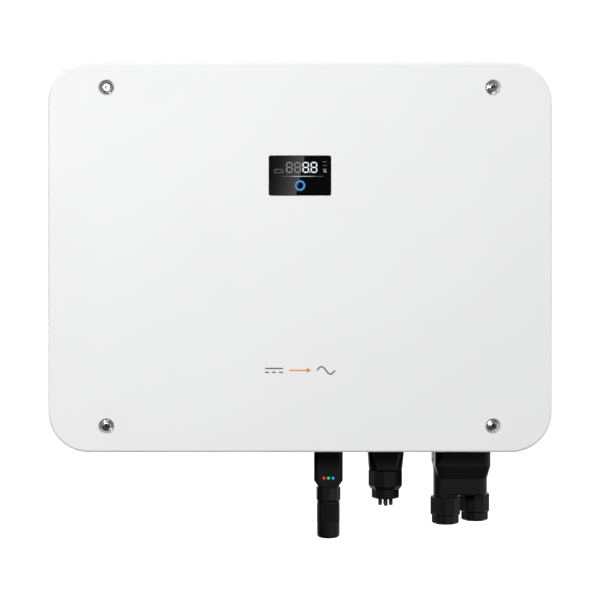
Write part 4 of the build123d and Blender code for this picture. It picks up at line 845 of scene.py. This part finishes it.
def small_cans(work):
    """Small round capacitors along the control board's upper edge and above the power board's relays."""
    for i in range(6):
        x = control_x + (-50 + 20 * i) * MM
        add_can(work, x, control_face, control_high.z - 8 * MM, 4 * MM, 10 * MM)
    relays_low, relays_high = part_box("output_relays")
    for i in range(8):
        x = relays_low.x + (12 + 26 * i) * MM
        add_can(work, x, power_board_face, relays_high.z + 14 * MM, 5 * MM, 12 * MM)


def chip_pins(work):
    """Two rows of pins beside the processor and the three long chips."""
    pin_pitch = 2.4
    for x, z, wide, tall in ((0, -30, 28, 28), (-70, 10, 20, 34), (-70, -40, 20, 34), (72, -45, 20, 34)):
        count = int(tall / pin_pitch)
        for side in (-1, 1):
            for i in range(count):
                pin_z = control_z + (z - tall / 2 + 2 + i * (tall - 4) / (count - 1)) * MM
                pin_x = control_x + (x + side * (wide / 2 + 0.9)) * MM
                add_block(work, pin_x, control_face, pin_z, 1.8 * MM, 0.9 * MM, 1.2 * MM, 0.25 * MM)


piece("control_chips", chips, finishes["module_case"], "unit")
piece("small_capacitors", small_cans, finishes["potted_case"], "unit")
piece("chip_pins", chip_pins, finishes["stainless"], "unit")

# ---------------------------------------------------------------------------------------------------
# Floor, light and camera
# ---------------------------------------------------------------------------------------------------

floor_drop = 0.95  # from the lowest point of the object to the floor
floor_half = 30.0


def staged(name, work, material):
    """Makes a mesh object of the studio, which isn't part of the object itself."""
    data = bpy.data.meshes.new(name)
    work.to_mesh(data)
    work.free()
    data.materials.append(material)
    obj = bpy.data.objects.new(name, data)
    bpy.context.scene.collection.objects.link(obj)
    obj.visible_diffuse = False
    return obj


def lay_floor():
    """A wide, level floor that lights nothing."""
    work = bmesh.new()
    bmesh.ops.create_grid(work, x_segments=24, y_segments=24, size=floor_half)
    for vert in work.verts:
        vert.co.z = cad_box[0][2] - floor_drop
    floor = staged("studio_floor", work, studio_floor("studio_floor"))
    floor.visible_glossy = False


def area_light(name, place, aim, size, power):
    """A soft rectangular light at place, pointing to aim."""
    data = bpy.data.lights.new(name, "AREA")
    data.shape = "RECTANGLE"
    data.size, data.size_y = size
    data.energy = power
    light = bpy.data.objects.new(name, data)
    bpy.context.scene.collection.objects.link(light)
    light.location = place
    light.rotation_euler = (Vector(aim) - Vector(place)).to_track_quat("-Z", "Y").to_euler()
    light.visible_camera = False


lay_floor()
aim = (cover_middle.x, face_y, cover_middle.z)
area_light("main_above_left", (-1.05, -3.4, 1.05), aim, (1.8, 0.8), 112)
area_light("upper_right_box", (1.5, -1.5, 1.6), aim, (0.5, 0.5), 1.5)
area_light("right_box", (2.3, -0.3, 0.2), aim, (0.8, 2.0), 12)
area_light("top_box", (0.0, -0.2, 2.2), aim, (2.6, 0.6), 12)
area_light("right_strip", (1.75, -1.75, -0.55), aim, (0.3, 1.5), 3.5)
area_light("low_front", (0.9, -2.2, -1.4), aim, (1.4, 0.5), 7)


def sheen_card(edge, width, height, lean):
    """A slanting bright card, seen only as a sheen in polished surfaces and brightest at its right edge."""
    f = Finish("sheen_card")
    x, _, z = f.split()
    ripple = f.noise(14.0, 2.0)
    share = ((x - (z - edge.z) * lean) / width + 1.0).clamped()
    level = 0.06 + share**2.2 * 0.94
    f.set(
        Base_Color=(0.0, 0.0, 0.0),
        Roughness=0.9,
        Emission_Color=f.mix(level * (0.97 + ripple * 0.06), (0.0, 0.0, 0.0), (1.0, 1.0, 1.0)),
        Emission_Strength=1.7,
    )
    work = bmesh.new()
    verts = []
    for across, up in ((-1, -1), (0, -1), (0, 1), (-1, 1)):
        rise = up * height / 2
        verts.append(work.verts.new((edge.x + across * width + rise * lean, edge.y, edge.z + rise)))
    work.faces.new(verts)
    bmesh.ops.subdivide_edges(work, edges=work.edges, cuts=3, use_grid_fill=True)
    card = staged("sheen_card", work, f.material)
    card.visible_camera = False
    card.visible_shadow = False
    card.visible_transmission = False


def studio_air():
    """White to the eye; as light, dim in front, on the left and below, and bright behind."""
    world = bpy.data.worlds.new("studio_air")
    world.use_nodes = True
    air = Nodes(world.node_tree)
    back = air.tree.nodes["Background"]
    seen = air.node("ShaderNodeLightPath", out="Is Camera Ray")
    x, y, z = air.parts(air.node("ShaderNodeTexCoord", out="Generated"))
    behind = ((y - 0.45) / 0.35).clamped()
    level = (0.09 + x * 0.08 + y * 0.04 + z * 0.09).clamped() + behind * 1.2
    strength = seen * 1.05 + (1.0 - seen) * level
    plug(air.tree, back.inputs["Color"], (1.0, 1.0, 1.0))
    plug(air.tree, back.inputs["Strength"], strength)
    return world


camera_distance = 1.9
camera_place = Vector((cover_middle.x, face_y - camera_distance, cover_middle.z))
# The card stands just behind the camera, where the display's polished window mirrors it
card_y = camera_place.y - 0.02
card_share = (face_y - card_y) / camera_distance
card_z = lens_middle.z + (lens_middle.z - camera_place.z) * card_share
card_edge = Vector((lens_middle.x * 2 + 1 * MM, card_y, card_z))
sheen_card(card_edge, width=0.09, height=0.16, lean=0.225)

scene = bpy.context.scene
scene.world = studio_air()
scene.view_settings.view_transform = "Standard"
scene.view_settings.look = "None"

picture_width = 0.738  # what the camera takes in across the front face's plane
camera_drop = 0.0713  # how far the cover's middle stands above the picture's, as a share of its width
camera_data = bpy.data.cameras.new("camera")
camera_data.sensor_width = 36.0
camera_data.lens = camera_data.sensor_width * camera_distance / picture_width
camera_data.shift_y = -camera_drop
camera_data.clip_end = 100.0
camera = bpy.data.objects.new("camera", camera_data)
scene.collection.objects.link(camera)
camera.location = camera_place
camera.rotation_euler = (radians(90), 0, 0)
scene.camera = camera
